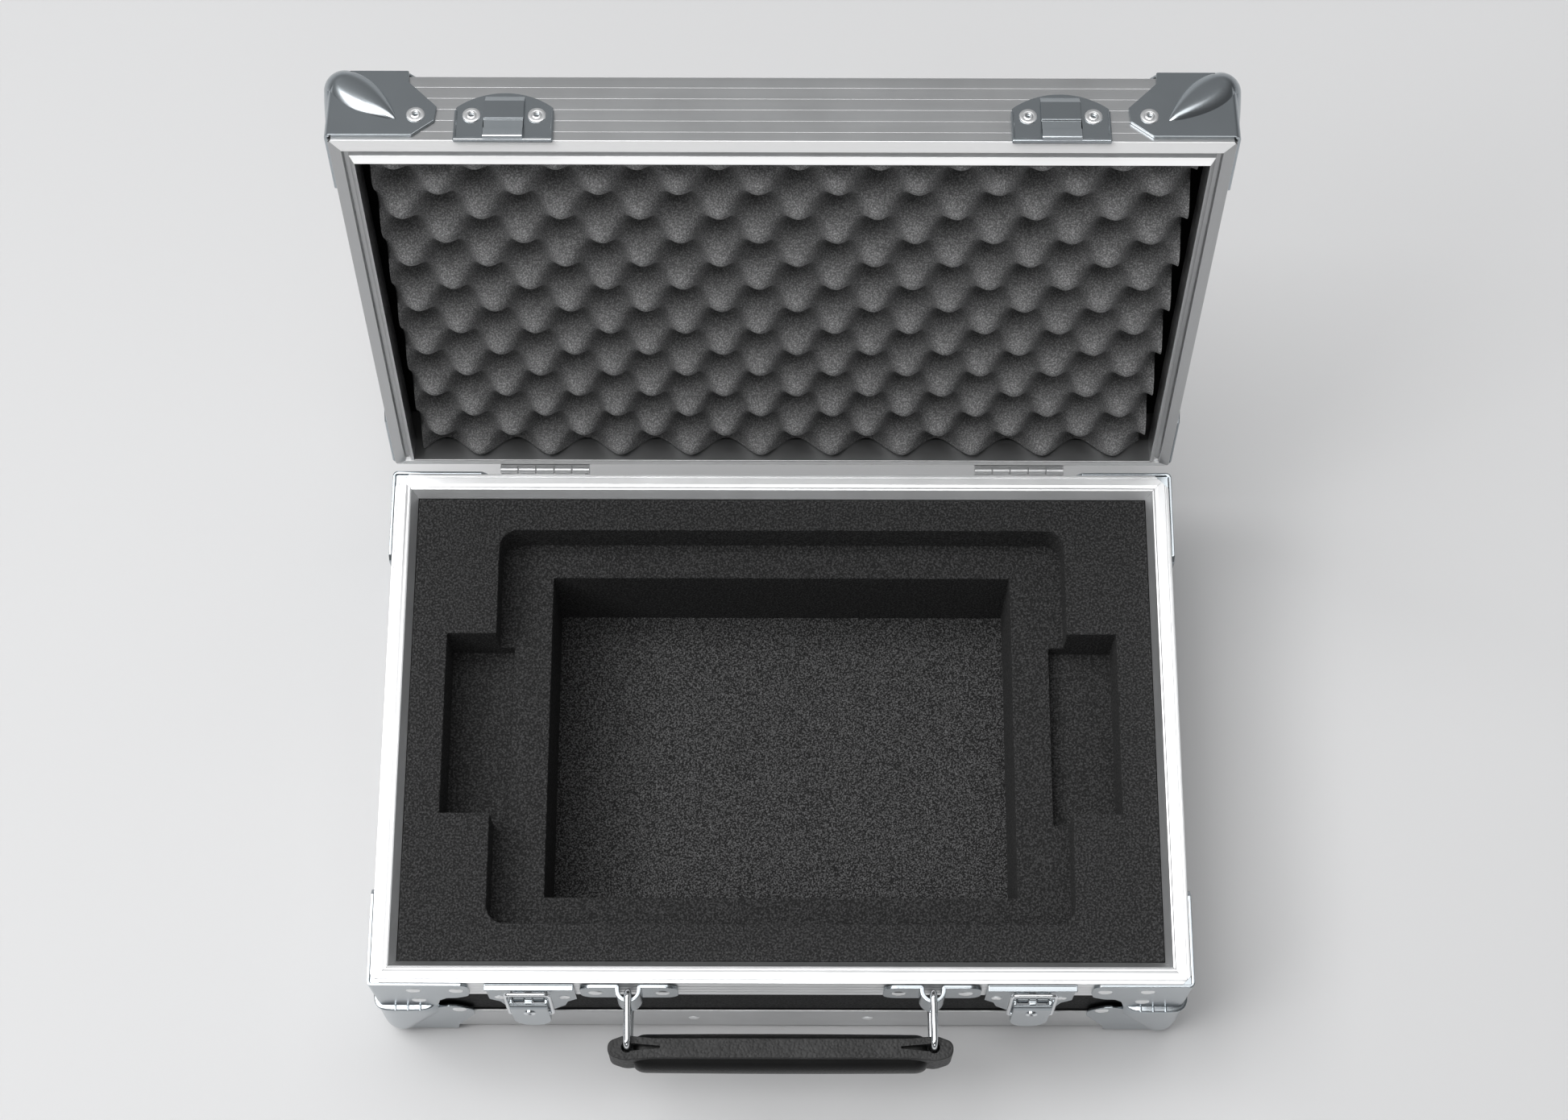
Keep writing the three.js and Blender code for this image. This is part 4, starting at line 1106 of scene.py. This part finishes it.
def lock(centre):
    """A round barrel with a keyway in its face, and the cam behind it."""
    head = [(0, 0.4), (2.2, 0.45), (2.6, 0.9), (3.0, 0.9), (3.3, 0.55), (3.3, -3.2), (0, -3.2)]
    barrel = lathe(head, 40, facing(centre, (0, -1, 0)))
    x, y, z = centre
    keyway = block(x - 0.45, x + 0.45, y - 3, y + 1.6, z - 1.9, z + 1.9)
    cam = block(x - 1.6, x + 1.6, y + 2.6, y + 4, z - 6.2, z, 0.3)
    return merged([combined(barrel, "DIFFERENCE", [keyway]), cam])


keeper_sheet = 1.3
# (out from the lid's face, up from its mouth, corner radius)
hook_outline = [
    (0, 0.6, 0.3), (4.5, 0.7, 0.5), (4.9, 1.4, 0.3), (5.4, 5.9, 0.3), (3.2, 6.3, 0.3),
    (2.9, 6.7, 0.2), (3.45, 12.0, 0.2), (3.9, 12.5, 0.2), (4.0, 13.2, 0.3),
    (3.6, 24, 1.5), (0, 31.0, 0.3),
]


def keeper(x):
    """A flanged plate with an arched edge and a raised middle that ends in the hook lip."""
    face = -half_y - gap
    low = lid_mouth + 0.6
    half_width = 24.2
    shoulder_z = lid_mouth + 21.5
    rise = 9.3
    radius = (half_width ** 2 + rise ** 2) / (2 * rise)
    spread = math.degrees(math.asin(half_width / radius))
    top = arc((0, shoulder_z + rise - radius), radius, 90 - spread, 90, 12)
    arch = [(half_width, low, 0.8), (half_width, shoulder_z, 1.2), *top[1:]]
    back = on_front(slab([(p.x + x, p.y) for p in rounded(mirrored_outline(arch))], 0, keeper_sheet, 0.4))
    flange = block(x - 24.7, x + 24.7, face - 2.6, face, lid_mouth + 0.2, lid_mouth + 2.4, 0.8, 3)
    pieces = [back, flange]
    for side in (-1, 1):
        edges = sorted((x + side * 23.3, x + side * 24.7))
        pieces.append(block(*edges, face - 2.3, face, low, lid_mouth + 19.5, 0.6, 3))
    hook = rounded([(face - out, lid_mouth + up, radius) for out, up, radius in hook_outline], steps=3)
    pieces.append(reshaped(slab(hook, -10, 10, 0.45), lambda p: (x + p.z, p.x, p.y)))
    return merged(pieces)


pin_profile = [(0, -9.85), (0.9, -9.85), (1.2, -9.6), (1.2, 9.6), (0.9, 9.85), (0, 9.85)]
for name, pin in lever_pins.items():
    add(f"plate_{name}", catch_plate(pin), "base", "steel_plate", [f"catch_plate_{name}"])
    screws = wall_pair(pin.x, 17.8, -half_y - proud, rim_z - 28.5)
    add_studs(f"plate_screws_{name}", small_rivet, screws, "base")
    pin_piece = lathe(pin_profile, 24, facing(pin, (1, 0, 0)))
    add(f"pin_{name}", pin_piece, "base", "bright_steel", [f"catch_pin_{name}"])
    add(f"lever_{name}", lever(pin), f"lever_{name}", "steel_plate", [f"catch_lever_{name}"])
    pivot = Vector(joints[f"bail_{name}_pivot"]["pos_m"]) / MM
    add(f"bail_{name}", bail(pin, pivot), f"bail_{name}", "chrome_wire", [f"catch_bail_{name}"], sharp=80)
    centre = Vector(joints[f"lock_{name}_turn"]["pos_m"]) / MM
    add(f"lock_{name}", lock(centre), f"lock_{name}", "chrome_wire", [f"catch_lock_{name}"])
    add(f"keeper_{name}", keeper(pin.x), "lid", "steel_plate", [f"catch_keeper_{name}"], lid_open)
    rivets = wall_pair(pin.x, 16.2, -half_y - gap - keeper_sheet, lid_mouth + 16.4)
    add_studs(f"keeper_rivets_{name}", flanged_rivet, rivets, "lid", place=lid_open)

# ---- Rivets along the lower bars ----
places = []
for side in (-1, 1):
    places += [((x, side * half_y, 20.0), (0, side, 0)) for x in (-151, -50, 50, 151)]
    places += [((side * half_x, y, 20.0), (side, 0, 0)) for y in (-50, 50)]
add_studs("lower_bar_rivets", small_rivet, places, "base")

# ---- Hinges ----
hinge_knuckle = 2.25
hinge_sheet = 1.4
base_knuckles = [(-26, -15.8), (-5.1, 5.1), (15.8, 26)]
lid_knuckles = [(-15.4, -5.5), (5.5, 15.4)]


def hinge_leaf(x, up, knuckles):
    """A leaf below (-1) or above (1) the hinge line, on the back wall, with its knuckles."""
    low, high = sorted((hinge.z + up * 1.2, hinge.z + up * 24))
    x0, x1 = x - 26, x + 26
    outline = rounded([(x0, low, 0.5), (x1, low, 0.5), (x1, high, 3), (x0, high, 3)], steps=6)
    leaf = slab(outline, 0, hinge_sheet, 0.3)
    pieces = [reshaped(leaf, lambda p: (p.x, half_y + gap + p.z, p.y))]
    for start, end in knuckles:
        pieces.append(roller((x + start, hinge.y, hinge.z), hinge_knuckle, end - start, 0.3))
    return merged(pieces)


for name in ("left", "right"):
    x = sum(corner.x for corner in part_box(f"hinge_pin_{name}")) / 2 / MM
    halves = [
        ("base", -1, base_knuckles, [f"hinge_base_leaf_{name}", f"hinge_pin_{name}"], None),
        ("lid", 1, lid_knuckles, [f"hinge_lid_leaf_{name}"], lid_open),
    ]
    for body, up, knuckles, covered, place in halves:
        leaf = hinge_leaf(x, up, knuckles)
        # The hinge leaves wear the lower bars' darker look: painted shade.
        add(f"hinge_{body}_{name}", leaf, body, "aluminium_frame", covered, place, look=lower_painted_shade_looks[0])
        screw_y = half_y + gap + hinge_sheet
        screws = [((x + across, screw_y, hinge.z + up * 13.5), (0, 1, 0)) for across in (-18, 0, 18)]
        add_studs(f"hinge_{body}_screws_{name}", small_rivet, screws, body, place)

# ---- Foam ----
foam_top = rim_z - 5.5
pad_low, pad_high = (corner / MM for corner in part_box("foam_floor_pad"))


def foam_insert():
    """The block with its stepped recess, its deep well and its two side pockets."""
    low, high = (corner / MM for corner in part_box("foam_insert"))
    top_x = half_x - 13.6
    top_y = half_y - 13.6
    body = combined(
        block(low.x, high.x, low.y, high.y, low.z, foam_top - 2.5),
        "UNION",
        [block(-top_x, top_x, -top_y, top_y, low.z + 5, foam_top)],
    )
    front = -half_y
    near, far = front + 34.5, front + 267.3
    recess = rounded([(-163.5, near), (163.5, near), (163.5, far), (-163.5, far)], 11, 8)
    cutters = [
        slab(recess, foam_top - 25.5, foam_top + 20, 0),
        block(-133.5, 133.5, front + 55.5, front + 247, low.z - 10, foam_top + 10),
    ]
    for side in (-1, 1):
        x0, x1 = sorted((side * 155, side * 191.7))
        cutters.append(block(x0, x1, front + 97.8, front + 204, foam_top - 36.5, foam_top + 20))
    return soften(combined(body, "DIFFERENCE", cutters), 0.7, 3)


def foam_pad():
    return block(pad_low.x, pad_high.x, pad_low.y, pad_high.y, pad_low.z, pad_high.z, 1.0, 3)


def crate_height(x, t):
    """The foam's surface at a place across the lid and in from its back edge."""
    wave = math.cos(2 * math.pi * (x - crate_phase_x) / crate_pitch_x)
    wave *= math.cos(2 * math.pi * (t - crate_phase_t) / crate_pitch_y)
    return crate_peak + crate_depth * (0.5 - 0.5 * wave)


def egg_crate():
    """Convoluted foam: staggered peaks and hollows, cut square at its edges."""
    columns = 276
    rows = 182
    back = lid_top - 6.0
    bm = bmesh.new()
    grid = []
    for j in range(rows + 1):
        t = crate_ends[0] + (crate_ends[1] - crate_ends[0]) * j / rows
        row = []
        for i in range(columns + 1):
            x = -crate_half_x + 2 * crate_half_x * i / columns
            row.append(bm.verts.new((x, half_y - t, crate_height(x, t))))
        grid.append(row)
    for low, high in zip(grid, grid[1:]):
        for i in range(columns):
            bm.faces.new((low[i], high[i], high[i + 1], low[i + 1]))
    border = grid[0] + [row[-1] for row in grid[1:]] + grid[-1][-2::-1] + [row[0] for row in grid[-2:0:-1]]
    under = [bm.verts.new((vert.co.x, vert.co.y, back)) for vert in border]
    for i in range(len(border)):
        bm.faces.new((border[i - 1], border[i], under[i], under[i - 1]))
    bm.faces.new(under)
    bmesh.ops.recalc_face_normals(bm, faces=bm.faces)
    return bm


insert_piece = add("foam_block", foam_insert(), "base", "base_foam", ["foam_insert"])
pad_piece = add("foam_pad", foam_pad(), "base", "coarse_foam", ["foam_floor_pad"])
crate_piece = add("egg_crate", egg_crate(), "lid", "lid_foam", ["lid_foam"], lid_open, sharp=60)

# ---- Stage ----
room_glow = (-0.3, 0.62, 0.72)
room_dim = 0.12
room_bright = 0.34
room_skyline = 0.42
floor_z = cad_box[0][2]


def stage_floor():
    """The pale floor, just under the case."""
    made, _, shader = material("floor", Roughness=0.42)
    shader.inputs["Base Color"].default_value = (0.68, 0.68, 0.685, 1)
    shader.inputs["Specular IOR Level"].default_value = 0.35
    mesh = bpy.data.meshes.new("floor")
    size = 6.0
    corners = [(-size, -size, 0), (size, -size, 0), (size, size, 0), (-size, size, 0)]
    mesh.from_pydata(corners, [], [(0, 1, 2, 3)])
    mesh.materials.append(made)
    floor = bpy.data.objects.new("floor", mesh)
    floor.location.z = floor_z - 0.0002
    bpy.context.scene.collection.objects.link(floor)


def area_light(name, place, target, size, power):
    """A soft rectangular lamp, aimed at a target."""
    lamp = bpy.data.lights.new(name, "AREA")
    lamp.shape = "RECTANGLE"
    lamp.size, lamp.size_y = size
    lamp.energy = power
    light = bpy.data.objects.new(name, lamp)
    light.location = place
    aim = Vector(target) - Vector(place)
    light.rotation_euler = aim.to_track_quat("-Z", "Y").to_euler()
    bpy.context.scene.collection.objects.link(light)


def studio():
    """A pale room that is bright behind and above the case, under one large lamp to its left."""
    world = bpy.data.worlds.new("studio")
    bpy.context.scene.world = world
    world.use_nodes = True
    tree = world.node_tree
    glow = ranged(tree, reach_along(tree, "Generated", room_glow), room_dim, room_bright, 0.35, 1.0)
    height = reach_along(tree, "Generated", (0, 0, 1))
    skyline = ranged(tree, height, room_skyline, 0.0, 0.02, 0.3)
    level = node(tree, "ShaderNodeMath", {0: glow, 1: skyline}, operation="ADD").outputs[0]
    background = tree.nodes["Background"]
    background.inputs["Color"].default_value = (0.97, 0.985, 1.0, 1)
    tree.links.new(level, background.inputs["Strength"])
    area_light("key", (-4.0, 0.6, 8.0), (0.0, 0.0, 0.1), (5.0, 5.0), 410)
    area_light("left", (-3.9, -1.9, 5.2), (0.0, 0.0, 0.2), (2.0, 2.0), 56)
    area_light("overhead", (-0.3, -0.7, 6.5), (0.0, 0.0, 0.1), (2.0, 2.0), 70)
    area_light("top", (0.1, 1.5, 4.6), (0.0, 0.15, 0.1), (3.4, 1.8), 40)
    area_light("front", (0.0, -3.7, 3.1), (0.0, 0.0, 0.2), (3.2, 1.2), 14)


camera_place = (0.00127, -0.48617, 1.69061)
camera_tilt = 20.291
camera_roll = 0.137
focal_length = 66.99


def camera():
    """The viewpoint: above the case and a little in front, with a long lens."""
    lens = bpy.data.cameras.new("camera")
    lens.sensor_width = 36
    lens.lens = focal_length
    view = bpy.data.objects.new("camera", lens)
    view.location = camera_place
    tilt = Matrix.Rotation(math.radians(camera_tilt), 4, "X")
    roll = Matrix.Rotation(math.radians(camera_roll), 4, "Z")
    view.rotation_euler = (tilt @ roll).to_euler()
    bpy.context.scene.collection.objects.link(view)
    bpy.context.scene.camera = view
    bpy.context.scene.view_settings.view_transform = "Standard"


stage_floor()
studio()
camera()
